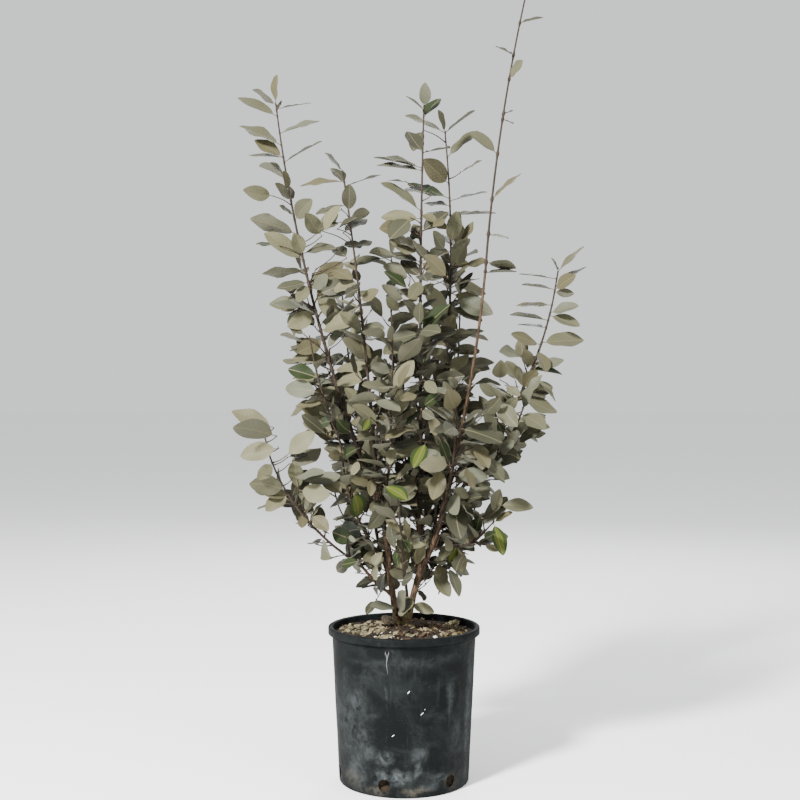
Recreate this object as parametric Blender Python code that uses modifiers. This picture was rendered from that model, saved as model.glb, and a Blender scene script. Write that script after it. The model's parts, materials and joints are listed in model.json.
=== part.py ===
"""Potted elaeagnus: a young evergreen shrub with several leaders in a round nursery pot.

Metres, +Z up. The origin is the middle of the pot's flat underside. X runs to the right
of the front view and Y runs away from it.
"""
import random
from collections import namedtuple
from math import cos, exp, radians, sin, tau

import bmesh
import bpy
import numpy as np
from mathutils import Vector
from mathutils.bvhtree import BVHTree

# The pot, a thin moulded container with a rolled lip
POT_HEIGHT = 0.263
RIM_RADIUS = 0.1305
BODY_TOP_RADIUS = 0.1236
FOOT_RADIUS = 0.1112
WALL = 0.0022
BASE_THICKNESS = 0.0032
FOOT_ROUNDING = 0.0030
LIP_DEPTH = 0.0120
LIP_ROUNDING = 0.0016
LIP_EDGE = 0.0008  # chamfer of the lip's lower edge
LIP_SPREAD = 0.0004  # how far the wall widens inside the lip
STEP_DEPTH = 0.0006  # the moulded step under the lip
STEP_HEIGHT = 0.0045
STEP_SLOPE = 0.0010
POT_SIDES = 40

# Drain holes through the wall, just above the base
HOLE_COUNT = 6
HOLE_RADIUS = 0.0105
HOLE_HEIGHT = 0.0200
FIRST_HOLE_ANGLE = radians(-17)  # from the front, towards the right
HOLE_SIDES = 8
HOLE_CUTTER_LENGTH = 0.024

# The soil fills the pot and rises to a low mound round the stems
SOIL_EDGE_DROP = 0.0115  # below the rim
SOIL_MOUND_HEIGHT = 0.2615
MOUND_FLAT_RADIUS = 0.036
MOUND_RINGS = (0.35, 0.70, 1.00)  # shares of the way from the flat to the wall
MOUND_HOLLOW = 1.3  # over 1, the mound falls away fast and then flattens
SOIL_WALL_GAP = 0.0005
SOIL_SIDES = 32

SEAT_GAP = 0.0003  # between pieces that touch
CAP_WELD = 0.00001

# The wood
LIMB_SIDE_LEVEL = 2  # eight sides
FLARE = 0.55  # how much wider a stem is at the soil
FLARE_HEIGHT = 0.012
FLARE_KNEE = 0.4  # share of the flare's height where the stem starts to lean
STEM_STEP = 0.020  # length of one straight stretch
LIMB_STEP = 0.055
SHOOT_STEP = 0.050
LEADER_FOOT_RADIUS = 0.0024  # at most, for a leader that leaves the side of a limb
LEADER_FOOT_SHARE = 0.6  # and at most this share of the limb's radius
LEADER_TIP_RADIUS = 0.0013
LEADER_SIDES = 4
FARTHEST_FOOT = 0.030  # from the limb's axis
FOOT_HALVINGS = 11  # of that length, to find the nearest place that is clear
SHOOT_FOOT_RADIUS = 0.0014
SHOOT_TIP_RADIUS = 0.0010
SHOOT_SIDES = 3

# How the side shoots stand on a leader
SHOOT_ZONE = (0.08, 0.90)  # shares of the leader's length
SHOOT_JITTER = (0.2, 0.8)  # place in its own stretch of the zone
SHOOT_ANGLES = (42, 62)  # degrees off the leader
SHOOT_SIZES = (0.75, 1.10)  # shares of the length that fills the reach
SHOOT_LEAST = 0.024
SHOOT_LIFT = 0.12  # how far the tip turns up, a share of the length
SHOOT_BOW = 0.06
SHOOT_SAG = 0.5
LEAF_OVERHANG = 0.72  # share of a leaf that stands out past its shoot

# The leaves, long ellipses that fold a little along the midrib and arch to the tip
LEAF_LENGTH = 0.080
LEAF_WIDTH_SHARE = 0.50
LEAF_THICKNESS = 0.0016
LEAF_CUP = 0.10
LEAF_OUTLINE = ((0.27, 0.98), (0.66, 0.94))  # share of the length, share of the half width
KEEL_PLACE = 0.42  # share of the length where a leaf is thickest
LEAF_FACES = (
    (0, 2, 1), (1, 2, 4), (1, 4, 3), (3, 4, 5),
    (6, 0, 1), (6, 2, 0), (6, 1, 3), (6, 4, 2), (6, 3, 5), (6, 5, 4),
)

# How the leaves stand on a shoot
LEAF_ANGLES = (58, 84)  # degrees off the shoot, at its foot
LEAF_ANGLE_FALL = 24  # degrees less at its tip
LEAF_SIZES = (0.78, 1.05)  # shares of the leaf's length
LEADER_LEAF_FALL = 0.28  # how much smaller a leader's leaves are at its tip
LEAF_ROLL = radians(28)  # spread of the turn about the leaf's own midrib
LEAF_ARCHES = (0.04, 0.20)
LEAF_TURN_SPREAD = 0.25
LEAF_GAP_SPREAD = (0.8, 1.2)
SHOOT_END = 0.006  # no side leaf stands closer to the tip than this
TIP_LEAF_SIZES = (0.60, 0.80)
TIP_LEAF_ANGLE = radians(12)
TIP_LEAF_ARCH = 0.08
TIP_LEAF_SINK = 0.003
GOLDEN_ANGLE = radians(137.5)
FACE_ALONG = 0.5  # what a leaf's upper side turns to: along its shoot,
FACE_UP = 0.4  # up,
SUN_SIDE = Vector((-0.30, -0.85, 0.35))  # and to the light, at the front of the plant
SUN_DEPTH = 0.12  # this far back it turns the other way

# How much room a leaf needs
LEAF_TRIES = 5  # turns round the shoot that a leaf tries before it is skipped
LEAF_CLEARANCE = 0.0006
LEAF_NECK = 0.10  # share of a leaf's length that other leaves may touch
NEAR_LEAVES = 0.10
SPACE_REACH = 1.2  # a mass's space ends this many reaches from its leader
SPACE_MARGIN = 0.03  # share of the reach kept free between two masses
SPACE_STEP = 0.01

UP = Vector((0, 0, 1))
RIGHT = Vector((1, 0, 0))
NEARLY_RIGHT = 0.85

Limb = namedtuple("Limb", "carrier place tip bow foot_radius tip_radius")
Mass = namedtuple("Mass", "carrier place tip bow reach tip_reach shoots seed")
Habit = namedtuple("Habit", "gap bare_leader bare_shoot share")

# The two stems stand on the mound. Each bough starts at a place on its carrier, a share
# of that limb's length, and ends where it enters its mass. The bow is the sideways
# offset at mid length.
STEM_FEET = {
    "stem_left": Vector((-0.0095, 0.020, SOIL_MOUND_HEIGHT + SEAT_GAP)),
    "stem_right": Vector((0.0040, 0.004, SOIL_MOUND_HEIGHT + SEAT_GAP)),
}
LIMBS = {
    "stem_left": Limb(None, 0, (-0.028, 0.002, 0.396), (-0.003, -0.002, 0), 0.0056, 0.0050),
    "stem_right": Limb(None, 0, (0.029, 0.012, 0.360), (-0.001, 0, 0), 0.0060, 0.0055),
    "bough_left_outer": Limb(
        "stem_left", 1, (-0.064, 0.014, 0.520), (0.005, 0.003, 0), 0.0046, 0.0036
    ),
    "bough_left_inner": Limb(
        "stem_left", 0.90, (-0.046, -0.030, 0.500), (0.001, -0.006, -0.003), 0.0037, 0.0031
    ),
    "bough_centre": Limb(
        "stem_right", 1, (0.030, 0.008, 0.520), (-0.004, 0.003, 0), 0.0044, 0.0036
    ),
    "bough_right": Limb(
        "stem_right", 0.90, (0.069, -0.022, 0.480), (0.006, -0.006, 0), 0.0044, 0.0040
    ),
    "bough_centre_right": Limb(
        "bough_centre", 0.50, (0.056, 0.044, 0.560), (0.004, 0.006, -0.008), 0.0032, 0.0028
    ),
    "whip": Limb("bough_right", 1, (0.135, -0.070, 0.863), (0.008, -0.004, 0), 0.0032, 0.0021),
    "bough_right_outer": Limb(
        "bough_right", 0.90, (0.120, 0.008, 0.536), (0.004, 0.002, -0.006), 0.0034, 0.0029
    ),
    "bough_lower_left": Limb(
        "stem_left", 0.52, (-0.070, -0.028, 0.366), (0.000, -0.003, -0.005), 0.0028, 0.0025
    ),
    "bough_back_left": Limb(
        "stem_left", 0.66, (-0.056, 0.080, 0.460), (-0.003, 0.010, -0.010), 0.0032, 0.0028
    ),
    "bough_back_right": Limb(
        "stem_right", 0.62, (0.060, 0.086, 0.450), (0.002, 0.012, -0.010), 0.0032, 0.0028
    ),
}

# Each mass grows from one stem, its leader, that starts 0.3 mm clear of its carrier.
# Its reach is how far the leaves stand out from the leader, at the foot and at the tip.
MASSES = {
    "left_spire": Mass(
        "bough_left_outer", 1, (-0.224, 0.030, 1.168), (-0.020, 0.010, 0), 0.100, 0.074, 13, 102
    ),
    "left_inner_spire": Mass(
        "bough_left_inner", 1, (-0.103, -0.058, 1.035), (0.006, -0.014, 0), 0.095, 0.060, 11, 115
    ),
    "left_shoulder": Mass(
        "bough_left_outer", 0.55, (-0.160, -0.045, 0.760), (-0.018, -0.014, 0), 0.085, 0.070, 6, 100
    ),
    "centre_spire": Mass(
        "bough_centre", 1, (0.034, -0.020, 1.155), (-0.004, -0.010, 0), 0.095, 0.060, 14, 111
    ),
    "centre_right_spire": Mass(
        "bough_centre_right", 1, (0.074, 0.085, 1.130), (0.018, 0.014, 0), 0.100, 0.062, 13, 115
    ),
    "right_spire": Mass(
        "bough_right_outer", 1, (0.268, 0.020, 0.875), (0.024, 0.004, -0.010), 0.085, 0.060, 9, 105
    ),
    "right_shoulder": Mass(
        "bough_right_outer", 0.55, (0.205, -0.066, 0.655), (0.010, -0.020, -0.014), 0.085, 0.070, 5, 105
    ),
    "lower_left_spray": Mass(
        "bough_lower_left", 1, (-0.236, -0.070, 0.606), (-0.030, -0.008, -0.010), 0.085, 0.064, 9, 106
    ),
    "low_left": Mass(
        "stem_left", 0.80, (-0.105, -0.070, 0.570), (-0.016, -0.014, -0.006), 0.080, 0.070, 5, 113
    ),
    "low_front": Mass(
        "stem_right", 0.45, (-0.010, -0.130, 0.490), (0.000, -0.022, -0.010), 0.080, 0.070, 5, 111
    ),
    "middle_front": Mass(
        "bough_left_inner", 0.50, (-0.020, -0.130, 0.790), (0.006, -0.030, 0), 0.090, 0.070, 8, 116
    ),
    "right_front": Mass(
        "bough_right", 0.80, (0.080, -0.135, 0.690), (0.010, -0.028, -0.006), 0.090, 0.070, 6, 105
    ),
    "low_right": Mass(
        "bough_right", 0.36, (0.150, -0.050, 0.445), (0.014, -0.010, -0.012), 0.085, 0.070, 5, 113
    ),
    "middle": Mass(
        "bough_centre", 0.60, (-0.022, 0.060, 0.900), (-0.016, 0.016, 0), 0.095, 0.070, 8, 47
    ),
    "back_left": Mass(
        "bough_back_left", 1, (-0.115, 0.150, 0.860), (-0.006, 0.020, -0.006), 0.100, 0.070, 9, 117
    ),
    "back_right": Mass(
        "bough_back_right", 1, (0.105, 0.165, 0.840), (0.010, 0.020, -0.006), 0.100, 0.070, 9, 105
    ),
    "low_back_left": Mass(
        "bough_back_left", 0.45, (-0.130, 0.120, 0.500), (-0.016, 0.010, -0.012), 0.085, 0.070, 5, 121
    ),
    "low_back_right": Mass(
        "bough_back_right", 0.42, (0.135, 0.095, 0.480), (0.016, 0.006, -0.014), 0.085, 0.070, 5, 123
    ),
    "back_middle": Mass(
        "bough_back_right", 0.60, (0.000, 0.195, 0.700), (-0.012, 0.030, -0.010), 0.090, 0.070, 6, 106
    ),
    "whip_top": Mass(
        "whip", 1, (0.208, -0.090, 1.352), (-0.010, -0.004, 0), 0.050, 0.050, 0, 123
    ),
    "basal_sprout": Mass(
        "stem_left", 0.28, (-0.012, -0.028, 0.300), (0.000, -0.004, -0.004), 0.075, 0.075, 0, 107
    ),
}

# The gap from leaf to leaf, the bare feet of a leader and of a shoot, and the leaves'
# share of the usual size. The whip has few small leaves and the sprout's are close.
LEAFY = Habit(0.0260, 0.036, 0.014, 1.0)
HABITS = {
    "whip_top": Habit(0.062, 0.036, 0.014, 0.50),
    "basal_sprout": Habit(0.013, 0.012, 0.012, 0.75),
}


def clear_scene():
    for thing in list(bpy.data.objects):
        bpy.data.objects.remove(thing, do_unlink=True)


def new_collection(name):
    group = bpy.data.collections.new(name)
    bpy.context.scene.collection.children.link(group)
    return group


def new_material(name, colour, roughness):
    """A plain finish: base colour and roughness, nothing metallic."""
    finish = bpy.data.materials.new(name)
    finish.use_nodes = True
    shader = finish.node_tree.nodes["Principled BSDF"]
    shader.inputs["Base Color"].default_value = (*colour, 1)
    shader.inputs["Roughness"].default_value = roughness
    shader.inputs["Metallic"].default_value = 0
    return finish


def new_object(name, mesh, group, finish=None):
    thing = bpy.data.objects.new(name, mesh)
    group.objects.link(thing)
    if finish:
        mesh.materials.append(finish)
    return thing


def evaluated_mesh(thing):
    """A new mesh of the object as it stands, with its modifiers applied."""
    graph = bpy.context.evaluated_depsgraph_get()
    return bpy.data.meshes.new_from_object(thing.evaluated_get(graph))


def hide_cutter(thing):
    thing.hide_render = True
    thing.display_type = "WIRE"


def turned(name, profile, sides, group, finish):
    """A turned shape from its profile, which runs down its outer side."""
    mesh = bpy.data.meshes.new(name)
    edges = [(i, i + 1) for i in range(len(profile) - 1)]
    mesh.from_pydata([(radius, 0, height) for radius, height in profile], edges, [])
    thing = new_object(name, mesh, group, finish)
    screw = thing.modifiers.new("Turn", "SCREW")
    screw.steps = sides
    screw.render_steps = sides
    screw.use_merge_vertices = True
    screw.merge_threshold = 0.0001
    screw.use_smooth_shade = True
    return thing


def cut(thing, cutters):
    """Takes each cutter out of the object."""
    for cutter in cutters:
        hide_cutter(cutter)
        away = thing.modifiers.new("Cut " + cutter.name, "BOOLEAN")
        away.operation = "DIFFERENCE"
        away.object = cutter


def wall_radius(height):
    """Outer radius of the pot's body at a height."""
    top = POT_HEIGHT - LIP_DEPTH
    return FOOT_RADIUS + (BODY_TOP_RADIUS - FOOT_RADIUS) * height / top


def pot_profile():
    """The section of the pot: up its inside, over the lip, down the outside to the foot."""
    top = POT_HEIGHT
    lip_bottom = top - LIP_DEPTH
    lip_inside = RIM_RADIUS - WALL
    inner_top = BODY_TOP_RADIUS - WALL
    base_inside = wall_radius(BASE_THICKNESS) - WALL
    step_bottom = lip_bottom - STEP_HEIGHT
    inside = [
        (0, BASE_THICKNESS),
        (base_inside, BASE_THICKNESS),
        (inner_top, lip_bottom),
        (inner_top + LIP_SPREAD, top - LIP_ROUNDING),
        (inner_top + LIP_ROUNDING, top),
    ]
    lip = [
        (RIM_RADIUS - LIP_ROUNDING, top),
        (RIM_RADIUS, top - LIP_ROUNDING),
        (RIM_RADIUS, lip_bottom + LIP_EDGE),
        (RIM_RADIUS - LIP_EDGE, lip_bottom),
        (lip_inside, lip_bottom),
        (lip_inside, top - WALL),
        (BODY_TOP_RADIUS + LIP_SPREAD, top - WALL),
    ]
    step = [
        (BODY_TOP_RADIUS + STEP_DEPTH, step_bottom),
        (wall_radius(step_bottom - STEP_SLOPE), step_bottom - STEP_SLOPE),
    ]
    foot = []
    for angle in (0, radians(45), radians(90)):
        height = FOOT_ROUNDING * (1 - sin(angle))
        foot.append((wall_radius(height) - FOOT_ROUNDING * (1 - cos(angle)), height))
    return inside + lip + step + foot + [(0, 0)]


def make_pot(group, cutters, finish):
    pot = turned("pot", pot_profile(), POT_SIDES, group, finish)
    holes = []
    for i in range(HOLE_COUNT):
        angle = FIRST_HOLE_ANGLE + i * tau / HOLE_COUNT
        outward = Vector((sin(angle), -cos(angle), 0))
        bpy.ops.mesh.primitive_cylinder_add(
            vertices=HOLE_SIDES, radius=HOLE_RADIUS, depth=HOLE_CUTTER_LENGTH
        )
        hole = bpy.context.object
        hole.name = f"drain hole {i + 1}"
        hole.rotation_mode = "QUATERNION"
        hole.rotation_quaternion = outward.to_track_quat("Z", "Y")
        hole.location = outward * wall_radius(HOLE_HEIGHT) + UP * HOLE_HEIGHT
        for home in hole.users_collection:
            home.objects.unlink(hole)
        cutters.objects.link(hole)
        holes.append(hole)
    cut(pot, holes)
    return pot


def make_soil(group, finish):
    edge_height = POT_HEIGHT - SOIL_EDGE_DROP
    inset = WALL + SOIL_WALL_GAP
    edge = wall_radius(min(edge_height, POT_HEIGHT - LIP_DEPTH)) - inset
    fall = SOIL_MOUND_HEIGHT - edge_height
    profile = [(0, SOIL_MOUND_HEIGHT), (MOUND_FLAT_RADIUS, SOIL_MOUND_HEIGHT)]
    for share in MOUND_RINGS:
        radius = MOUND_FLAT_RADIUS + (edge - MOUND_FLAT_RADIUS) * share
        profile.append((radius, edge_height + fall * (1 - share) ** MOUND_HOLLOW))
    floor = BASE_THICKNESS + SEAT_GAP
    profile += [(wall_radius(floor) - inset, floor), (0, floor)]
    return turned("soil", profile, SOIL_SIDES, group, finish)


def bowed_path(foot, tip, bow, step):
    """Points from the foot to the tip along a limb that bows sideways at mid length."""
    count = max(2, round((tip - foot).length / step))
    points = []
    for i in range(count + 1):
        share = i / count
        points.append(foot.lerp(tip, share) + bow * (4 * share * (1 - share)))
    return points


def at_share(points, share):
    """The point at a share of the path's stretches, and the direction there."""
    place = share * (len(points) - 1)
    index = min(int(place), len(points) - 2)
    step = points[index + 1] - points[index]
    return points[index] + step * (place - index), step.normalized()


def path_length(points):
    return sum((b - a).length for a, b in zip(points, points[1:]))


def sides_of(direction):
    """Two unit vectors square to a direction and to each other."""
    guide = RIGHT if abs(direction.x) < NEARLY_RIGHT else UP
    across = (guide - direction * guide.dot(direction)).normalized()
    return across, direction.cross(across)


def between(limits, share):
    """The value at a share of the way from the first limit to the second."""
    return limits[0] + (limits[1] - limits[0]) * share


def tapered(foot_radius, tip_radius, count):
    return [between((foot_radius, tip_radius), i / (count - 1)) for i in range(count)]


def ring_curve(name, sides, group):
    """A closed outline of unit radius with so many sides, to sweep along a line."""
    outline = bpy.data.curves.new(name, "CURVE")
    ring = outline.splines.new("POLY")
    ring.points.add(sides - 1)
    for i, knot in enumerate(ring.points):
        knot.co = (cos(i * tau / sides), sin(i * tau / sides), 0, 1)
    ring.use_cyclic_u = True
    return new_object(name, outline, group)


def tube(name, points, radii, group, sides=None):
    """A capped tube along the points, with a radius at each: a closed mesh."""
    curve = bpy.data.curves.new(name, "CURVE")
    curve.dimensions = "3D"
    curve.use_fill_caps = True
    spline = curve.splines.new("POLY")
    spline.points.add(len(points) - 1)
    for knot, point, radius in zip(spline.points, points, radii):
        knot.co = (*point, 1)
        knot.radius = radius
    section = None
    if sides:
        section = ring_curve(name + " section", sides, group)
        curve.bevel_mode = "OBJECT"
        curve.bevel_object = section
    else:
        curve.bevel_depth = 1
        curve.bevel_resolution = LIMB_SIDE_LEVEL
    line = new_object(name + " line", curve, group)
    mesh = evaluated_mesh(line)
    bpy.data.objects.remove(line)
    bpy.data.curves.remove(curve)
    if section:
        outline = section.data
        bpy.data.objects.remove(section)
        bpy.data.curves.remove(outline)
    close_tube(mesh)
    return mesh


def close_tube(mesh):
    """Welds a tube's loose caps on and turns its faces to point out."""
    shape = bmesh.new()
    shape.from_mesh(mesh)
    bmesh.ops.remove_doubles(shape, verts=shape.verts, dist=CAP_WELD)
    bmesh.ops.recalc_face_normals(shape, faces=shape.faces)
    if shape.calc_volume(signed=True) < 0:
        bmesh.ops.reverse_faces(shape, faces=shape.faces)
    shape.to_mesh(mesh)
    shape.free()


def tree_of(points, faces):
    """A search tree of the faces, to test what they touch."""
    return BVHTree.FromPolygons([tuple(p) for p in points], faces)


def tree_of_mesh(mesh):
    return tree_of([v.co for v in mesh.vertices], [tuple(p.vertices) for p in mesh.polygons])


def limb_radii(limb, points):
    """Tapers from the foot to the tip, with a flare where a stem meets the soil."""
    radii = tapered(limb.foot_radius, limb.tip_radius, len(points))
    if limb.carrier:
        return radii
    heights = [point.z - points[0].z for point in points]
    return [r * (1 + FLARE * exp(-h / FLARE_HEIGHT)) for r, h in zip(radii, heights)]


def radius_at(limb, points, share):
    """The limb's radius at a share of its stretches, its flare included."""
    radii = limb_radii(limb, points)
    place = share * (len(points) - 1)
    index = min(int(place), len(points) - 2)
    return between(radii[index:index + 2], place - index)


def stem_path(foot, tip, bow):
    """A stem stands square on the soil and then leans, with more points in its flare."""
    points = bowed_path(foot, tip, bow, STEM_STEP)
    rise = points[1] - points[0]
    knee = foot + UP * (FLARE_HEIGHT * FLARE_KNEE)
    return [foot, knee, foot + rise * (FLARE_HEIGHT / rise.z)] + points[1:]


def limb_paths():
    """The path of each limb. One that starts at its carrier's tip goes on from there."""
    paths = {}
    for name, limb in LIMBS.items():
        tip = Vector(limb.tip)
        bow = Vector(limb.bow)
        if limb.carrier is None:
            paths[name] = stem_path(STEM_FEET[name], tip, bow)
            continue
        foot, along = at_share(paths[limb.carrier], limb.place)
        if limb.place == 1:
            foot = foot + along * SEAT_GAP
        paths[name] = bowed_path(foot, tip, bow, LIMB_STEP)
        if limb.place == 1:
            paths[name].insert(1, foot + along * limb.foot_radius)
    return paths


def make_limbs(paths, group, cutters, finish):
    """The stems and boughs, each cut back 0.3 mm clear of those made before it.

    Returns each one's guard, a search tree that is 0.3 mm wider than the limb.
    """
    guards = {}
    for name, limb in LIMBS.items():
        points = paths[name]
        radii = limb_radii(limb, points)
        mesh = tube(name, points, radii, cutters)
        thing = new_object(name, mesh, group, finish)
        tree = tree_of_mesh(mesh)
        touched = []
        for other, (guard, guard_tree) in guards.items():
            goes_on = other == limb.carrier and limb.place == 1
            if tree.overlap(guard_tree) and not goes_on:
                touched.append(guard)
        if touched:
            cut(thing, touched)
            bpy.context.view_layer.update()
            trimmed = keep_largest(evaluated_mesh(thing))
            thing.modifiers.clear()
            thing.data = trimmed
        thing.data.shade_smooth()
        wide = [radius + SEAT_GAP for radius in radii]
        guard_mesh = tube(name + " guard", points, wide, cutters)
        guard = new_object(name + " guard", guard_mesh, cutters)
        hide_cutter(guard)
        guards[name] = (guard, tree_of_mesh(guard_mesh))
    return {name: tree for name, (guard, tree) in guards.items()}


def keep_largest(mesh):
    """Drops loose scraps and keeps the largest body, told apart by the edges they share."""
    shape = bmesh.new()
    shape.from_mesh(mesh)
    unseen = set(shape.faces)
    bodies = []
    while unseen:
        body = []
        queue = [unseen.pop()]
        while queue:
            face = queue.pop()
            body.append(face)
            for edge in face.edges:
                for other in edge.link_faces:
                    if other in unseen:
                        unseen.discard(other)
                        queue.append(other)
        bodies.append(body)
    bodies.sort(key=len, reverse=True)
    scraps = [face for body in bodies[1:] for face in body]
    bmesh.ops.delete(shape, geom=scraps, context="FACES")
    shape.to_mesh(mesh)
    shape.free()
    return mesh


def is_closed(mesh):
    """True if every edge has two faces and the volume is positive."""
    shape = bmesh.new()
    shape.from_mesh(mesh)
    closed = all(len(edge.link_faces) == 2 for edge in shape.edges)
    volume = shape.calc_volume(signed=True)
    shape.free()
    return closed and volume > 0


def leader_line(name, mass, foot, along, foot_radius, workshop):
    """A mass's stem from its foot to its tip, as a path and a mesh.

    One that starts straight on from its bough's tip first runs along it.
    """
    points = bowed_path(foot, Vector(mass.tip), Vector(mass.bow), LIMB_STEP)
    if mass.place == 1:
        points.insert(1, foot + along * foot_radius)
    radii = tapered(foot_radius, LEADER_TIP_RADIUS, len(points))
    return points, tube(name + " leader", points, radii, workshop, LEADER_SIDES)


def make_leader(name, mass, paths, guards, workshop):
    """A mass's stem, as a path and a mesh, from 0.3 mm clear of the limb that carries it."""
    carrier = LIMBS[mass.carrier]
    limb_path = paths[mass.carrier]
    spot, along = at_share(limb_path, mass.place)
    if mass.place == 1:
        foot = spot + along * SEAT_GAP
        return leader_line(name, mass, foot, along, carrier.tip_radius, workshop)
    limb_radius = radius_at(carrier, limb_path, mass.place)
    foot_radius = min(LEADER_FOOT_RADIUS, limb_radius * LEADER_FOOT_SHARE)
    leave = (Vector(mass.tip) - spot + Vector(mass.bow) * 4).normalized()
    touching = 0
    clear = FARTHEST_FOOT
    for _ in range(FOOT_HALVINGS):
        middle = (touching + clear) / 2
        foot = spot + leave * middle
        points, mesh = leader_line(name, mass, foot, along, foot_radius, workshop)
        if tree_of_mesh(mesh).overlap(guards[mass.carrier]):
            touching = middle
        else:
            clear = middle
    return leader_line(name, mass, spot + leave * clear, along, foot_radius, workshop)


def grow_shoots(mass, leader):
    """The leader's side shoots: spiralled round it, rising and turning up."""
    rng = random.Random(mass.seed)
    turn = rng.uniform(0, tau)
    shoots = []
    for k in range(mass.shoots):
        share = between(SHOOT_ZONE, (k + rng.uniform(*SHOOT_JITTER)) / mass.shoots)
        angle = radians(rng.uniform(*SHOOT_ANGLES))
        size = rng.uniform(*SHOOT_SIZES)
        spot, along = at_share(leader, share)
        reach = between((mass.reach, mass.tip_reach), share) - LEAF_OVERHANG * LEAF_LENGTH
        length = max(SHOOT_LEAST, reach * size / sin(angle))
        across, square = sides_of(along)
        azimuth = turn + k * GOLDEN_ANGLE
        outward = across * cos(azimuth) + square * sin(azimuth)
        rise = along * cos(angle) + outward * sin(angle) + UP * SHOOT_LIFT
        bow = (outward - UP * SHOOT_SAG) * length * SHOOT_BOW
        shoots.append(bowed_path(spot, spot + rise * length, bow, SHOOT_STEP))
    return shoots


def leaf_points(leaf, start=0.0, spare=0.0):
    """Corners of a leaf: root, two pairs on the rim, tip, and the keel under its middle.

    With a start and some spare it is the shape that other pieces stay clear of.
    """
    width = leaf["length"] * LEAF_WIDTH_SHARE
    normal = leaf["normal"]
    across = normal.cross(leaf["along"])

    def place(share, side, lift):
        bend = -leaf["arch"] * share * share * leaf["length"]
        out = leaf["root"] + leaf["along"] * (share * leaf["length"])
        return out + across * side + normal * (bend + lift)

    points = [place(start, 0, spare)]
    for share, half in LEAF_OUTLINE:
        side = half * width / 2 + spare
        lift = LEAF_CUP * width * half / 2 + spare
        points.append(place(share, side, lift))
        points.append(place(share, -side, lift))
    points.append(place(1 + spare / leaf["length"], 0, spare))
    points.append(place(KEEL_PLACE, 0, -LEAF_THICKNESS - spare))
    return points


def aim_leaf(point, along, azimuth, angle, size, roll, arch):
    """A leaf that leaves its shoot at an angle, its face turned up and to the light."""
    across, square = sides_of(along)
    outward = across * cos(azimuth) + square * sin(azimuth)
    direction = (along * cos(angle) + outward * sin(angle)).normalized()
    lit = max(-1, min(1, (SUN_DEPTH - point.y) / SUN_DEPTH))
    face = along * FACE_ALONG + UP * FACE_UP + SUN_SIDE * lit
    face = (face - direction * face.dot(direction)).normalized()
    face = face * cos(roll) + direction.cross(face) * sin(roll)
    return {"root": point, "along": direction, "normal": face, "length": size, "arch": arch}


def grow_leaves(name, mass, leader, shoots):
    """Leaves in a spiral up the leader and each side shoot, and one at each tip.

    Each comes as a few choices, turned round its shoot, with the shoot's number.
    """
    rng = random.Random(mass.seed + 1000)
    habit = HABITS.get(name, LEAFY)
    leaves = []
    for number, points in enumerate([leader, *shoots]):
        length = path_length(points)
        place = habit.bare_shoot if number else habit.bare_leader
        azimuth = rng.uniform(0, tau)
        while place < length - SHOOT_END:
            share = place / length
            spot, along = at_share(points, share)
            angle = radians(rng.uniform(*LEAF_ANGLES) - LEAF_ANGLE_FALL * share)
            size = LEAF_LENGTH * rng.uniform(*LEAF_SIZES) * habit.share
            if number == 0:
                size *= 1 - LEADER_LEAF_FALL * share
            roll = rng.gauss(0, LEAF_ROLL)
            arch = rng.uniform(*LEAF_ARCHES)
            turns = [azimuth + k * GOLDEN_ANGLE for k in range(LEAF_TRIES)]
            choices = [aim_leaf(spot, along, turn, angle, size, roll, arch) for turn in turns]
            leaves.append((number, choices))
            azimuth += GOLDEN_ANGLE + rng.gauss(0, LEAF_TURN_SPREAD)
            place += habit.gap * rng.uniform(*LEAF_GAP_SPREAD)
        end, along = at_share(points, 1)
        root = end - along * TIP_LEAF_SINK
        size = LEAF_LENGTH * rng.uniform(*TIP_LEAF_SIZES) * habit.share
        tip_leaf = aim_leaf(root, along, azimuth, TIP_LEAF_ANGLE, size, 0, TIP_LEAF_ARCH)
        leaves.append((number, [tip_leaf]))
    return leaves


class Spaces:
    """Which mass owns a point: the one whose leader is nearest for its reach."""

    def __init__(self, leaders):
        spots = []
        weights = []
        owners = []
        for name, points in leaders.items():
            mass = MASSES[name]
            count = round(path_length(points) / SPACE_STEP)
            for i in range(count + 1):
                share = i / count
                spots.append(at_share(points, share)[0])
                weights.append(between((mass.reach, mass.tip_reach), share))
                owners.append(name)
        self.spots = np.array(spots)
        self.weights = np.array(weights)
        self.owners = np.array(owners)

    def holds(self, name, point):
        """True if the point is inside the mass's own space, with a margin."""
        reach = np.linalg.norm(self.spots - np.array(point), axis=1) / self.weights
        own = reach[self.owners == name].min()
        other = reach[self.owners != name].min()
        return own < SPACE_REACH and own + SPACE_MARGIN < other


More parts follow.
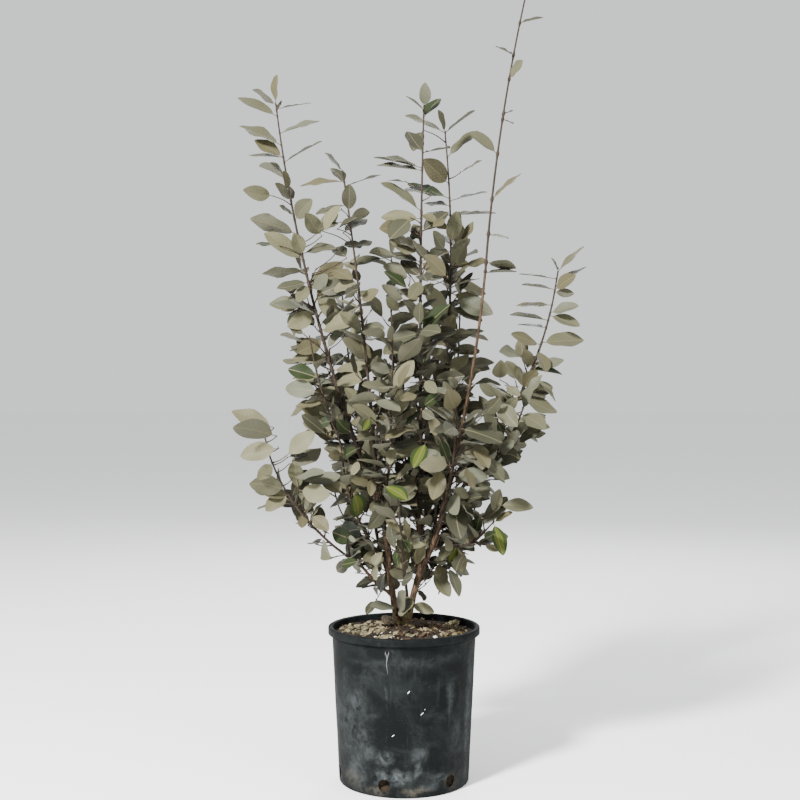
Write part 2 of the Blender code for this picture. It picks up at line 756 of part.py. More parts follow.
class Room:
    """All that stands already, to tell whether a shoot or a leaf finds room."""

    def __init__(self, spaces, guards):
        self.spaces = spaces
        self.wood = [(None, tree) for tree in guards]
        self.leaves = []

    def touches_wood(self, tree, own):
        """True if the shape touches wood other than its own shoot."""
        return any(key != own and tree.overlap(other) for key, other in self.wood)

    def add_leader(self, name, mesh):
        tree = tree_of_mesh(mesh)
        if self.touches_wood(tree, (name, 0)):
            raise ValueError(f"the leader of {name} touches other wood")
        self.wood.append(((name, 0), tree))

    def takes_shoot(self, name, number, points, mesh):
        """Adds a shoot if it stays in its mass's space and touches only its leader."""
        if not all(self.spaces.holds(name, point) for point in points[1:]):
            return False
        tree = tree_of_mesh(mesh)
        if self.touches_wood(tree, (name, 0)):
            return False
        self.wood.append(((name, number), tree))
        return True

    def takes_leaf(self, name, number, leaf):
        """Adds a leaf if it stays in its mass's space and touches only its own shoot."""
        wide = leaf_points(leaf, LEAF_NECK, LEAF_CLEARANCE)
        if not all(self.spaces.holds(name, point) for point in wide):
            return False
        tree = tree_of(wide, LEAF_FACES)
        if self.touches_wood(tree, (name, number)):
            return False
        middle = wide[-1]
        for spot, other in self.leaves:
            if (spot - middle).length < NEAR_LEAVES and tree.overlap(other):
                return False
        self.leaves.append((middle, tree))
        return True


def plant_leaders(paths, guards, fillings, workshop):
    """Every mass's leader, as a path and a mesh, and the room that is left round them."""
    leaders = {}
    meshes = {}
    for name, mass in MASSES.items():
        leaders[name], meshes[name] = make_leader(name, mass, paths, guards, workshop)
    room = Room(Spaces(leaders), [*guards.values(), *fillings])
    for name, mesh in meshes.items():
        room.add_leader(name, mesh)
    return leaders, meshes, room


def grow_mass(name, mass, leader, room, workshop):
    """The shoots and leaves of a mass that find room, shoots as paths with their meshes."""
    shoots = []
    for points in grow_shoots(mass, leader):
        sizes = tapered(SHOOT_FOOT_RADIUS, SHOOT_TIP_RADIUS, len(points))
        mesh = tube(name + " shoot", points, sizes, workshop, SHOOT_SIDES)
        if room.takes_shoot(name, len(shoots) + 1, points, mesh):
            shoots.append((points, mesh))
    leaves = []
    paths = [points for points, mesh in shoots]
    for number, choices in grow_leaves(name, mass, leader, paths):
        for leaf in choices:
            if room.takes_leaf(name, number, leaf):
                leaves.append(leaf)
                break
    return shoots, leaves


def leaf_mesh(leaf, name):
    mesh = bpy.data.meshes.new(name)
    mesh.from_pydata(leaf_points(leaf), [], LEAF_FACES)
    return mesh


def fuse(name, body, pieces, group, finish):
    """One closed solid of the body and its pieces."""
    workshop = new_collection(name + " pieces")
    for number, mesh in enumerate(pieces):
        new_object(f"{name} piece {number}", mesh, workshop)
    thing = new_object(name, body, group, finish)
    join = thing.modifiers.new("Join", "BOOLEAN")
    join.operation = "UNION"
    join.operand_type = "COLLECTION"
    join.collection = workshop
    mesh = keep_largest(evaluated_mesh(thing))
    if not is_closed(mesh):
        join.solver = "MANIFOLD"
        mesh = keep_largest(evaluated_mesh(thing))
    thing.modifiers.clear()
    thing.data = mesh
    for piece in list(workshop.objects):
        bpy.data.objects.remove(piece)
    bpy.data.collections.remove(workshop)


def make_masses(paths, guards, fillings, group, workshop, finish):
    """Grows the masses in turn and fuses each into one solid."""
    leaders, meshes, room = plant_leaders(paths, guards, fillings, workshop)
    for name, mass in MASSES.items():
        shoots, leaves = grow_mass(name, mass, leaders[name], room, workshop)
        pieces = [mesh for points, mesh in shoots]
        pieces += [leaf_mesh(leaf, name + " leaf") for leaf in leaves]
        fuse(name, meshes[name], pieces, group, finish)


def main():
    clear_scene()
    group = new_collection("potted elaeagnus")
    cutters = new_collection("cutters and guides")
    plastic = new_material("pot plastic", (0.030, 0.036, 0.036), 0.62)
    earth = new_material("soil", (0.070, 0.050, 0.034), 0.95)
    bark = new_material("bark", (0.160, 0.105, 0.062), 0.80)
    foliage = new_material("foliage", (0.215, 0.232, 0.150), 0.70)
    pot = make_pot(group, cutters, plastic)
    soil = make_soil(group, earth)
    paths = limb_paths()
    guards = make_limbs(paths, group, cutters, bark)
    fillings = [tree_of_mesh(evaluated_mesh(thing)) for thing in (pot, soil)]
    make_masses(paths, guards, fillings, group, cutters, foliage)


main()
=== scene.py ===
"""Potted elaeagnus: bark, twigs, leaves, soil and a weathered pot, made round the solids.

Metres, +Z up. The origin is the middle of the pot's flat underside. X runs to the right
of the front view and Y runs away from it.
"""

import json
import random
from collections import namedtuple
from math import acos, atan2, cos, exp, hypot, pi, radians, sin, sqrt, tau

import bmesh
import bpy
import numpy as np
from bpy.props import FloatProperty, FloatVectorProperty, IntProperty, PointerProperty
from bpy.types import Operator, Panel, PropertyGroup
from mathutils import Matrix, Vector, noise
from mathutils.bvhtree import BVHTree

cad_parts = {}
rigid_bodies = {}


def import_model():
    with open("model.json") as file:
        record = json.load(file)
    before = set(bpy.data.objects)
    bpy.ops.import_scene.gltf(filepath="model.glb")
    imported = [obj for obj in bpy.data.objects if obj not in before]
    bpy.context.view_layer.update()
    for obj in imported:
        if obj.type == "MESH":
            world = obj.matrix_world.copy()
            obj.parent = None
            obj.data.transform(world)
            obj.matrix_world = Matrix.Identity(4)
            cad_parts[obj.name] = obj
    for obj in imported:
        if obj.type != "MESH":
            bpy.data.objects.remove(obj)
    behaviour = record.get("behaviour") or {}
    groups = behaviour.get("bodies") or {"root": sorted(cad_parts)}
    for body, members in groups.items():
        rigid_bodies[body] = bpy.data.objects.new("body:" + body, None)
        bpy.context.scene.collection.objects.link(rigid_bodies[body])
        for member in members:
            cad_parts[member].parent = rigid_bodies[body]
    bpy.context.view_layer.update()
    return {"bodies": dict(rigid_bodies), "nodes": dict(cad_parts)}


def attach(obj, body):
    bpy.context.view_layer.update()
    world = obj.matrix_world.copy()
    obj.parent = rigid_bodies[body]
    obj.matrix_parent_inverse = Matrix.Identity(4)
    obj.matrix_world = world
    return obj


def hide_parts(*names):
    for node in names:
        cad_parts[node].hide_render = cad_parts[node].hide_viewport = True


bl_info = {
    "name": "Potted Elaeagnus",
    "version": (1, 0, 0),
    "blender": (4, 5, 0),
    "location": "3D View > Sidebar > Shrub",
    "description": "Makes the pot, soil, bark, twigs and leaves of a young potted elaeagnus",
    "category": "Object",
}

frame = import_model()
BODY = "root"

# The pot, a thin moulded container with a rolled lip
POT_HEIGHT = 0.263
RIM_RADIUS = 0.1305
BODY_TOP_RADIUS = 0.1236
FOOT_RADIUS = 0.1112
WALL = 0.0022
BASE_THICKNESS = 0.0032
FOOT_ROUNDING = 0.0030
LIP_DEPTH = 0.0120
LIP_ROUNDING = 0.0024
LIP_EDGE = 0.0008
LIP_SPREAD = 0.0004
STEP_DEPTH = 0.0006
STEP_HEIGHT = 0.0045
STEP_SLOPE = 0.0010
WALL_RING_GAP = 0.0055
DENT_DEPTH = 0.0006
DENT_SCALE = 9.0  # dents for each metre
DENT_TOP = 0.244
DENT_FADE = 0.2  # over which share of that height dents fade in and out
DENT_TURN = 1.7  # how closely they follow one another round the wall
DENT_INNERMOST = 0.8  # nothing nearer the axis gives way, a share of the foot's radius

# Drain holes through the wall, just above the base
HOLE_COUNT = 6
HOLE_RADIUS = 0.0105
HOLE_HEIGHT = 0.0200
FIRST_HOLE_ANGLE = radians(-17)  # from the front, towards the right
HOLE_SIDES = 40
HOLE_CUTTER_LENGTH = 0.024
HOLE_HOLLOW = 0.090  # how far the soil is washed out behind a hole, a share of its radius

# The soil fills the pot and rises to a low mound round the stems
SOIL_EDGE_DROP = 0.0115  # below the rim
SOIL_MOUND_HEIGHT = 0.2615
MOUND_FLAT_RADIUS = 0.036
MOUND_HOLLOW = 1.3
SOIL_WALL_GAP = 0.0012
SOIL_SECTORS = 220
SOIL_TOP_RINGS = 64
SOIL_SIDE_RINGS = 48

SEAT_GAP = 0.0003  # between the solids that touch

# The wood
FLARE = 0.55  # how much wider a stem is at the soil
FLARE_HEIGHT = 0.012
FLARE_KNEE = 0.4
STEM_STEP = 0.020
LIMB_STEP = 0.055
SHOOT_STEP = 0.050
LEADER_FOOT_RADIUS = 0.0032
LEADER_FOOT_SHARE = 0.6
LEADER_TIP_RADIUS = 0.0013
SHOOT_FOOT_RADIUS = 0.0014
SHOOT_TIP_RADIUS = 0.0008
TWIG_FOOT_RADIUS = 0.0010
TWIG_TIP_RADIUS = 0.0007

# How the side shoots stand on a leader
SHOOT_ZONE = (0.08, 0.90)
SHOOT_JITTER = (0.2, 0.8)
SHOOT_ANGLES = (42, 62)
SHOOT_SIZES = (0.75, 1.10)
SHOOT_LEAST = 0.024
SHOOT_LIFT = 0.12
SHOOT_BOW = 0.06
SHOOT_SAG = 0.5
LEAF_OVERHANG = 0.72

# How the finer growth stands: more side shoots, and twigs on the side shoots
FINE_SEED = 2000
FINE_SHARE = 2.6  # extra side shoots for each of the leader's own
FINE_SIZES = (0.45, 0.95)
FINE_ZONE = (0.04, 0.66)
TWIG_SEED = 3000
TWIGS_EACH = 3
TWIG_PLACES = (0.20, 0.80)
TWIG_LENGTHS = (0.022, 0.042)
TWIG_ANGLES = (35, 58)
TWIG_TURN = 0.6
TWIG_LEAST_SHOOT = 0.034
TWIG_LEAF_SHARE = 0.80

# Short leafy spurs that stand on the stems and boughs themselves
SPUR_GAP = 0.013
SPUR_LENGTHS = (0.028, 0.060)
SPUR_ANGLES = (48, 78)
SPUR_BARE_STEM = 0.035  # nothing grows on a stem lower than this over the soil
BARE_LIMBS = ("whip",)

# How the leaves stand on a shoot
LEAF_ANGLES = (60, 88)
LEAF_ANGLE_FALL = 22
LEAF_SIZES = (0.52, 0.96)
INNER_SHARE = 0.84  # how large leaves are inside the crown, a share of the others
LEAF_SEED = 5000
LEADER_LEAF_FALL = 0.28
OPEN_TOP = 0.9  # how much wider the gap is at a leader's tip
LEAF_ROLL = radians(34)
LEAF_ARCHES = (0.02, 0.22)
LEAF_TURN_SPREAD = 0.25
LEAF_GAP_SPREAD = (0.75, 1.25)
SHOOT_END = 0.005
TIP_LEAF_SIZES = (0.48, 0.74)
TIP_LEAF_ANGLE = radians(12)
TIP_LEAF_ARCH = 0.08
GOLDEN_ANGLE = radians(137.5)
FACE_ALONG = 0.5
FACE_UP = 0.6
LEAF_LIFTS = (0.0, 0.26, 0.22)  # how far leaves turn up on a leader, a shoot and a twig
SUN_SIDE = Vector((-0.30, -0.85, 0.35))
SUN_DEPTH = 0.12
SUN_SHARES = (0.1, 1.3)

# The shape of one leaf
LEAF_CUP = 0.10
LEAF_THICKNESS = 0.0005
LEAF_ROWS = 12
LEAF_STRIPS = (-1.0, -0.56, 0.0, 0.0, 0.56, 1.0)  # shares of the half width
MIDRIB_SHARE = 0.045
MIDRIB_MOST = 0.45
WIDEST_SHIFT = 0.96
OUTLINE_POWER = 0.66
FOLDS = (0.05, 0.34)
WAVES = (0.008, 0.044)
WAVE_COUNT = 1.6
TWISTS = 0.16
TWIST_MIDDLE = 0.3
PLUMPNESS = (0.90, 1.12)
SKEWS = 0.03
RIPPLE_SHIFT = 1.3  # how far one margin's waves run ahead of the middle
LEAST_HALF = 0.03
RIB_RISE = 0.5
RIB_DROP = 1.1
KEEL_PLACE = 0.42
LEAF_CORNERS = ((0.27, 0.98), (0.66, 0.94))
LEAF_FACES = (
    (0, 2, 1), (1, 2, 4), (1, 4, 3), (3, 4, 5),
    (6, 0, 1), (6, 2, 0), (6, 1, 3), (6, 4, 2), (6, 3, 5), (6, 5, 4),
)

# How much room a leaf needs
LEAF_TRIES = 13
LEAF_CLEARANCE = 0.0002
LEAF_NECK = 0.14
NEAR_LEAVES = 0.10
SPACE_REACH = 1.2
SPACE_MARGIN = -0.06  # how far a spray may pass into the next mass, a share of the reach
SPACE_STEP = 0.01

UP = Vector((0, 0, 1))
RIGHT = Vector((1, 0, 0))
NEARLY_RIGHT = 0.85

Limb = namedtuple("Limb", "carrier place tip bow foot_radius tip_radius")
Mass = namedtuple("Mass", "carrier place tip bow reach tip_reach shoots seed light")
Habit = namedtuple("Habit", "gap bare_leader bare_shoot share")
Shoot = namedtuple("Shoot", "points foot_radius tip_radius rank")
Leaf = namedtuple("Leaf", "root along normal length arch spray tint")

STEM_FEET = {
    "stem_left": Vector((-0.0095, 0.020, SOIL_MOUND_HEIGHT + SEAT_GAP)),
    "stem_right": Vector((0.0040, 0.004, SOIL_MOUND_HEIGHT + SEAT_GAP)),
}
LIMBS = {
    "stem_left": Limb(None, 0, (-0.028, 0.002, 0.396), (-0.003, -0.002, 0), 0.0056, 0.0050),
    "stem_right": Limb(None, 0, (0.029, 0.012, 0.360), (-0.001, 0, 0), 0.0060, 0.0055),
    "bough_left_outer": Limb(
        "stem_left", 1, (-0.064, 0.014, 0.520), (0.005, 0.003, 0), 0.0046, 0.0036
    ),
    "bough_left_inner": Limb(
        "stem_left", 0.90, (-0.046, -0.030, 0.500), (0.001, -0.006, -0.003), 0.0037, 0.0031
    ),
    "bough_centre": Limb(
        "stem_right", 1, (0.030, 0.008, 0.520), (-0.004, 0.003, 0), 0.0044, 0.0036
    ),
    "bough_right": Limb(
        "stem_right", 0.90, (0.069, -0.022, 0.480), (0.006, -0.006, 0), 0.0044, 0.0040
    ),
    "bough_centre_right": Limb(
        "bough_centre", 0.50, (0.056, 0.044, 0.560), (0.004, 0.006, -0.008), 0.0032, 0.0028
    ),
    "whip": Limb("bough_right", 1, (0.135, -0.070, 0.863), (0.008, -0.004, 0), 0.0032, 0.0021),
    "bough_right_outer": Limb(
        "bough_right", 0.90, (0.120, 0.008, 0.536), (0.004, 0.002, -0.006), 0.0034, 0.0029
    ),
    "bough_lower_left": Limb(
        "stem_left", 0.52, (-0.070, -0.028, 0.366), (0.000, -0.003, -0.005), 0.0028, 0.0025
    ),
    "bough_back_left": Limb(
        "stem_left", 0.66, (-0.056, 0.080, 0.460), (-0.003, 0.010, -0.010), 0.0032, 0.0028
    ),
    "bough_back_right": Limb(
        "stem_right", 0.62, (0.060, 0.086, 0.450), (0.002, 0.012, -0.010), 0.0032, 0.0028
    ),
}

# Each mass, as in the solids, and the light that its sprays have grown in, which also sets how much
# painted light and shade its leaves take
MASSES = {
    "left_spire": Mass(
        "bough_left_outer", 1, (-0.224, 0.030, 1.168), (-0.020, 0.010, 0),
        0.100, 0.074, 13, 102, "sun",
    ),
    "left_inner_spire": Mass(
        "bough_left_inner", 1, (-0.103, -0.058, 1.035), (0.006, -0.014, 0),
        0.095, 0.060, 11, 115, "open",
    ),
    "left_shoulder": Mass(
        "bough_left_outer", 0.55, (-0.160, -0.045, 0.760), (-0.018, -0.014, 0),
        0.085, 0.070, 6, 100, "open",
    ),
    "centre_spire": Mass(
        "bough_centre", 1, (0.034, -0.020, 1.155), (-0.004, -0.010, 0),
        0.095, 0.060, 14, 111, "half",
    ),
    "centre_right_spire": Mass(
        "bough_centre_right", 1, (0.074, 0.085, 1.130), (0.018, 0.014, 0),
        0.100, 0.062, 13, 115, "half",
    ),
    "right_spire": Mass(
        "bough_right_outer", 1, (0.268, 0.020, 0.875), (0.024, 0.004, -0.010),
        0.085, 0.060, 9, 105, "silver",
    ),
    "right_shoulder": Mass(
        "bough_right_outer", 0.55, (0.205, -0.066, 0.655), (0.010, -0.020, -0.014),
        0.085, 0.070, 5, 105, "silver",
    ),
    "lower_left_spray": Mass(
        "bough_lower_left", 1, (-0.236, -0.070, 0.606), (-0.030, -0.008, -0.010),
        0.085, 0.064, 9, 106, "sun",
    ),
    "low_left": Mass(
        "stem_left", 0.80, (-0.105, -0.070, 0.570), (-0.016, -0.014, -0.006),
        0.080, 0.070, 5, 113, "shade",
    ),
    "low_front": Mass(
        "stem_right", 0.45, (-0.010, -0.130, 0.490), (0.000, -0.022, -0.010),
        0.080, 0.070, 5, 111, "shade",
    ),
    "middle_front": Mass(
        "bough_left_inner", 0.50, (-0.020, -0.130, 0.790), (0.006, -0.030, 0),
        0.090, 0.070, 8, 116, "half",
    ),
    "right_front": Mass(
        "bough_right", 0.80, (0.080, -0.135, 0.690), (0.010, -0.028, -0.006),
        0.090, 0.070, 6, 105, "half",
    ),
    "low_right": Mass(
        "bough_right", 0.36, (0.150, -0.050, 0.445), (0.014, -0.010, -0.012),
        0.085, 0.070, 5, 113, "shade",
    ),
    "middle": Mass(
        "bough_centre", 0.60, (-0.022, 0.060, 0.900), (-0.016, 0.016, 0),
        0.095, 0.070, 8, 47, "half",
    ),
    "back_left": Mass(
        "bough_back_left", 1, (-0.115, 0.150, 0.860), (-0.006, 0.020, -0.006),
        0.100, 0.070, 9, 117, "open",
    ),
    "back_right": Mass(
        "bough_back_right", 1, (0.105, 0.165, 0.840), (0.010, 0.020, -0.006),
        0.100, 0.070, 9, 105, "open",
    ),
    "low_back_left": Mass(
        "bough_back_left", 0.45, (-0.130, 0.120, 0.500), (-0.016, 0.010, -0.012),
        0.085, 0.070, 5, 121, "shade",
    ),
    "low_back_right": Mass(
        "bough_back_right", 0.42, (0.135, 0.095, 0.480), (0.016, 0.006, -0.014),
        0.085, 0.070, 5, 123, "shade",
    ),
    "back_middle": Mass(
        "bough_back_right", 0.60, (0.000, 0.195, 0.700), (-0.012, 0.030, -0.010),
        0.090, 0.070, 6, 106, "half",
    ),
    "whip_top": Mass(
        "whip", 1, (0.208, -0.090, 1.352), (-0.010, -0.004, 0),
        0.050, 0.050, 0, 123, "open",
    ),
    "basal_sprout": Mass(
        "stem_left", 0.28, (-0.012, -0.028, 0.300), (0.000, -0.004, -0.004),
        0.075, 0.075, 0, 107, "sun",
    ),
}
HABITS = {
    "whip_top": Habit(0.050, 0.036, 0.014, 0.46),
    "basal_sprout": Habit(0.013, 0.012, 0.012, 0.75),
}
BARE_LEADER = 0.030
BARE_SHOOT = 0.012

# Where the open top of a leader starts, as a share of its length. Above it only the shown
# leaves stand.
OPEN_FROM = {
    "left_spire": 0.59, "left_inner_spire": 0.79, "centre_spire": 0.69,
    "centre_right_spire": 0.66, "right_spire": 0.60, "lower_left_spray": 0.66,
    "whip_top": 0.0, "basal_sprout": 0.0,
}

# The photo's own measures, in pixels
PHOTO_MIDDLE = 400
PHOTO_FOCUS = 1217  # from the eye to the picture
# The leaves that show one by one, measured in the photo's pixels: where the stalk
# starts, where the tip is, how wide the leaf shows, and its tint. The width has a minus where
# the underside shows.
SHOWN_LEAVES = {
    "left_spire": (
        (276, 97, 276, 75, 8, "olive"), (274, 99, 254, 89, -5, "deep"), (271, 117, 238, 96, 12, "sage"),
        (283, 107, 311, 101, 5, "silver"), (278, 111, 281, 100, 5, "shaded"),
        (285, 133, 319, 119, 9, "silver"), (277, 146, 240, 124, 12, "sage"),
        (277, 159, 255, 139, 13, "olive"), (281, 161, 321, 139, 2.5, "grey_green"),
        (279, 158, 247, 150, 2.5, "grey_green"), (280, 181, 260, 165, -5, "grey_green"),
        (281, 180, 271, 162, 5, "grey_green"), (287, 191, 284, 171, 7, "olive"),
        (273, 196, 244, 190, 19, "sunlit"), (285, 202, 276, 183, 8, "sage"),
        (290, 200, 291, 186, 6, "shaded"), (290, 217, 280, 205, 5, "grey_green"),
        (292, 219, 311, 200, 19, "sage"), (290, 234, 251, 217, -14, "grey_green"),
        (280, 246, 256, 242, 7, "deep"), (298, 262, 266, 233, 19, "sunlit"),
        (297, 256, 294, 234, 14, "sunlit"), (300, 270, 262, 272, -8, "shaded"),
        (303, 284, 277, 287, 10, "grey_green"), (308, 286, 298, 301, 14, "sunlit"),
        (311, 289, 327, 275, 13, "silver"), (303, 308, 274, 303, 9, "silver"),
        (311, 312, 288, 327, 17, "sunlit"), (302, 341, 281, 334, -4, "shaded"),
        (326, 328, 352, 324, 14, "sunlit"), (319, 340, 298, 352, 13, "olive"),
        (322, 236, 306, 214, 16, "sage"), (318, 232, 337, 212, 14, "sunlit"),
        (342, 210, 316, 213, 9, "olive"), (341, 222, 318, 229, 10, "grey_green"),
        (343, 233, 366, 216, 10, "shaded"), (342, 246, 363, 244, 9, "deep"),
        (330, 268, 352, 278, 12, "olive"), (385, 258, 351, 264, 9, "grey_green"),
        (356, 292, 374, 295, 8, "grey_green"), (352, 268, 360, 281, 10, "shaded"),
        (347, 258, 333, 246, 10, "shaded"), (331, 291, 355, 282, 11, "sunlit"),
        (310, 251, 336, 248, 11, "grey_green"), (322, 363, 293, 358, 13, "sunlit"),
        (338, 368, 368, 365, 12, "sunlit"), (322, 373, 294, 384, 14, "sunlit"),
        (337, 381, 361, 380, 13, "sunlit"), (314, 393, 301, 396, 8, "shaded"),
        (329, 386, 315, 397, 11, "sunlit"), (334, 400, 301, 418, 14, "sunlit"),
        (345, 335, 372, 357, 11, "olive"),
    ),
    "left_inner_spire": (
        (343, 168, 326, 152, 6, "grey_green"), (344, 181, 300, 184, 9, "olive"),
        (345, 184, 331, 167, 11, "shaded"), (347, 186, 380, 173, 2.5, "grey_green"),
        (345, 213, 349, 185, 18, "grey_green"), (345, 217, 369, 212, -9, "grey_green"),
        (337, 229, 357, 219, 9, "shaded"), (322, 231, 339, 206, 13, "sunlit"),
        (340, 206, 315, 211, 4, "grey_green"), (357, 246, 372, 240, 9, "shaded"),
        (362, 300, 378, 290, 11, "olive"), (361, 288, 345, 296, 11, "shaded"),
        (366, 322, 384, 328, 11, "grey_green"),
    ),
    "centre_spire": (
        (419, 106, 425, 83, 11, "silver"), (419, 109, 407, 95, 3, "grey_green"),
        (421, 117, 439, 97, 12, "deep"), (420, 152, 408, 130, 15, "shaded"),
        (421, 151, 450, 146, 5, "deep"), (417, 167, 374, 155, 8, "grey_green"),
        (418, 170, 377, 163, 7, "sage"), (406, 182, 388, 179, 3, "deep"), (432, 195, 408, 181, 9, "deep"),
        (422, 211, 382, 181, 11, "sage"), (421, 219, 381, 216, 15, "sunlit"),
        (424, 251, 391, 240, 11, "sunlit"), (410, 231, 380, 228, 15, "olive"),
        (423, 233, 409, 236, 10, "deep"), (396, 256, 370, 252, -8, "shaded"),
        (410, 278, 384, 266, -14, "deep"), (418, 262, 388, 252, 10, "shaded"),
        (412, 296, 433, 284, 11, "grey_green"), (400, 312, 387, 297, 12, "sage"),
        (418, 313, 388, 319, -10, "grey_green"), (412, 334, 386, 340, 13, "grey_green"),
        (410, 346, 384, 353, 12, "sage"), (414, 322, 398, 334, -11, "shaded"),
        (405, 300, 383, 285, -11, "shaded"), (423, 248, 388, 233, 12, "sunlit"),
        (411, 218, 390, 238, 17, "grey_green"), (423, 276, 401, 260, 15, "shaded"),
        (409, 290, 385, 272, 14, "deep"), (429, 279, 410, 298, 13, "sage"),
        (446, 218, 433, 226, 9, "olive"), (445, 251, 434, 231, 12, "grey_green"),
        (448, 278, 425, 255, 16, "olive"), (421, 214, 436, 222, 9, "olive"),
        (420, 226, 410, 238, 9, "shaded"), (424, 262, 440, 272, 13, "olive"),
        (412, 318, 404, 300, 11, "grey_green"),
    ),
    "centre_right_spire": (
        (443, 130, 439, 110, 7, "sage"), (442, 129, 474, 109, 3.5, "grey_green"),
        (446, 158, 477, 129, 11, "sage"), (443, 184, 424, 160, 21, "olive"),
        (460, 173, 481, 159, 4, "grey_green"), (447, 201, 487, 190, 4, "grey_green"),
        (450, 214, 496, 211, 5, "grey_green"), (449, 240, 459, 212, 14, "grey_green"),
        (452, 268, 465, 243, 17, "sage"), (440, 239, 465, 240, 6, "deep"),
        (464, 265, 487, 261, 9, "olive"), (438, 131, 406, 119, 14, "sage"),
        (423, 130, 413, 150, 14, "grey_green"), (442, 199, 408, 182, 12, "deep"),
        (450, 243, 456, 213, 15, "sage"), (456, 324, 442, 304, 12, "deep"),
        (454, 292, 491, 310, 17, "olive"), (457, 306, 483, 320, 13, "grey_green"),
        (427, 345, 449, 362, 12, "sage"), (470, 352, 452, 373, 13, "sunlit"),
        (446, 206, 424, 202, 8, "shaded"), (447, 214, 427, 211, 7, "deep"),
        (449, 238, 466, 242, 8, "shaded"), (448, 228, 432, 218, 9, "olive"),
        (450, 276, 434, 262, 13, "shaded"), (452, 262, 470, 262, 10, "olive"),
        (449, 252, 430, 248, 10, "grey_green"), (451, 290, 436, 300, 13, "shaded"),
    ),
    "whip_top": (
        (494, 153, 470, 131, 13, "sage"), (494, 198, 520, 172, 6, "olive"),
        (488, 233, 509, 237, 5, "grey_green"), (485, 273, 516, 271, 6, "deep"),
        (487, 262, 515, 268, -6, "grey_green"), (514, 53, 496, 45, 3, "olive"),
        (509, 79, 522, 60, 8, "sage"), (526, 23, 543, 16, 3, "grey_green"),
        (505, 113, 513, 110, 2, "shaded"), (504, 120, 514, 123, 2, "shaded"),
        (531, -3, 523, -14, 4, "sage"), (534, -12, 543, -22, 4, "grey_green"),
        (535, -14, 535, -28, 5, "olive"),
    ),
    "right_spire": (
        (556, 266, 552, 257, 3, "shaded"), (557, 270, 583, 245, 6, "sage"),
        (556, 289, 575, 275, 11, "olive"), (556, 286, 587, 264, 2.5, "grey_green"),
        (555, 291, 575, 293, 13, "grey_green"), (554, 277, 519, 272, 2.5, "grey_green"),
        (554, 290, 522, 283, 3, "grey_green"), (548, 304, 516, 304, 7, "olive"),
        (550, 312, 578, 305, 11, "silver"), (551, 315, 580, 325, 12, "sage"),
        (547, 319, 510, 313, 4, "grey_green"), (544, 327, 518, 323, 4, "shaded"),
        (539, 344, 512, 333, 11, "olive"), (549, 345, 584, 339, 15, "sage"),
        (545, 352, 545, 371, 12, "olive"), (534, 371, 563, 373, 7, "deep"),
        (531, 392, 536, 371, 13, "olive"), (525, 398, 558, 411, 14, "sage"),
        (517, 385, 520, 366, 13, "sunlit"), (500, 380, 501, 361, 15, "sunlit"),
        (522, 356, 500, 351, 10, "silver"), (533, 366, 524, 350, 12, "olive"),
        (515, 419, 499, 404, 17, "sage"), (516, 422, 545, 417, 13, "sage"),
    ),
    "lower_left_spray": (
        (274, 428, 232, 410, 17, "sunlit"), (277, 436, 236, 425, -13, "shaded"),
        (279, 448, 240, 456, 18, "sunlit"), (286, 456, 314, 432, 17, "sunlit"),
        (288, 457, 308, 453, 7, "shaded"), (288, 465, 320, 450, -18, "shaded"),
        (272, 463, 258, 478, 16, "sunlit"), (293, 478, 322, 472, 7, "silver"),
        (292, 493, 258, 490, 12, "olive"), (291, 492, 266, 510, 14, "sunlit"),
        (299, 490, 329, 495, 17, "sunlit"), (297, 479, 324, 472, 9, "silver"),
        (310, 512, 302, 527, 11, "olive"),
    ),
    "low_right": (
        (499, 521, 504, 555, 15, "fresh"), (499, 505, 533, 507, 14, "sage"),
        (484, 545, 499, 552, 8, "sunlit"), (482, 518, 470, 527, 12, "deep"),
        (457, 549, 449, 562, 10, "fresh"), (433, 571, 450, 596, 14, "sage"),
        (448, 566, 460, 596, 11, "grey_green"),
    ),
    "right_front": (
        (477, 532, 478, 514, 14, "deep"), (445, 528, 478, 547, 11, "silver"),
        (462, 410, 448, 390, 15, "olive"), (421, 410, 434, 418, 10, "grey_green"),
        (426, 442, 413, 467, 14, "fresh"), (439, 438, 449, 462, 13, "deep"),
        (473, 447, 489, 467, 12, "olive"), (485, 456, 505, 481, 13, "grey_green"),
        (466, 467, 474, 488, 9, "olive"), (448, 472, 425, 467, 6, "shaded"),
        (424, 485, 437, 480, 8, "grey_green"), (471, 497, 454, 490, 9, "sage"),
    ),
    "low_left": (
        (358, 519, 356, 495, 14, "fresh"), (356, 541, 331, 532, 17, "deep"),
        (376, 551, 363, 560, 10, "sunlit"), (311, 515, 328, 530, 13, "olive"),
        (370, 578, 377, 600, 11, "shaded"), (352, 560, 336, 572, 14, "shaded"),
        (331, 421, 320, 424, 12, "deep"), (336, 418, 350, 432, 12, "deep"),
        (377, 447, 388, 456, 8, "sunlit"), (359, 448, 341, 458, 9, "deep"),
        (362, 452, 371, 468, 9, "deep"), (358, 460, 352, 475, 8, "sunlit"),
        (372, 484, 352, 480, 9, "olive"), (345, 476, 308, 481, 13, "silver"),
        (345, 495, 329, 507, 6, "shaded"), (368, 527, 340, 538, 14, "deep"),
        (349, 451, 329, 456, 11, "olive"),
    ),
    "basal_sprout": (
        (391, 607, 371, 605, 6, "silver"), (398, 612, 412, 600, 8, "sunlit"),
        (398, 608, 404, 590, 9, "sage"), (396, 612, 407, 616, 5, "sunlit"),
    ),
    "middle_front": (
        (418, 394, 401, 400, 8, "olive"), (374, 400, 400, 410, 10, "silver"),
        (424, 380, 436, 392, 13, "sage"), (440, 394, 424, 405, 11, "deep"),
        (415, 428, 385, 438, 6, "olive"), (420, 441, 391, 446, 9, "shaded"),
        (370, 417, 363, 430, 10, "fresh"), (400, 372, 372, 366, 12, "silver"),
        (384, 352, 404, 342, 11, "shaded"),
    ),
    "right_shoulder": (
        (497, 397, 480, 385, 12, "sage"), (484, 415, 500, 398, 14, "grey_green"),
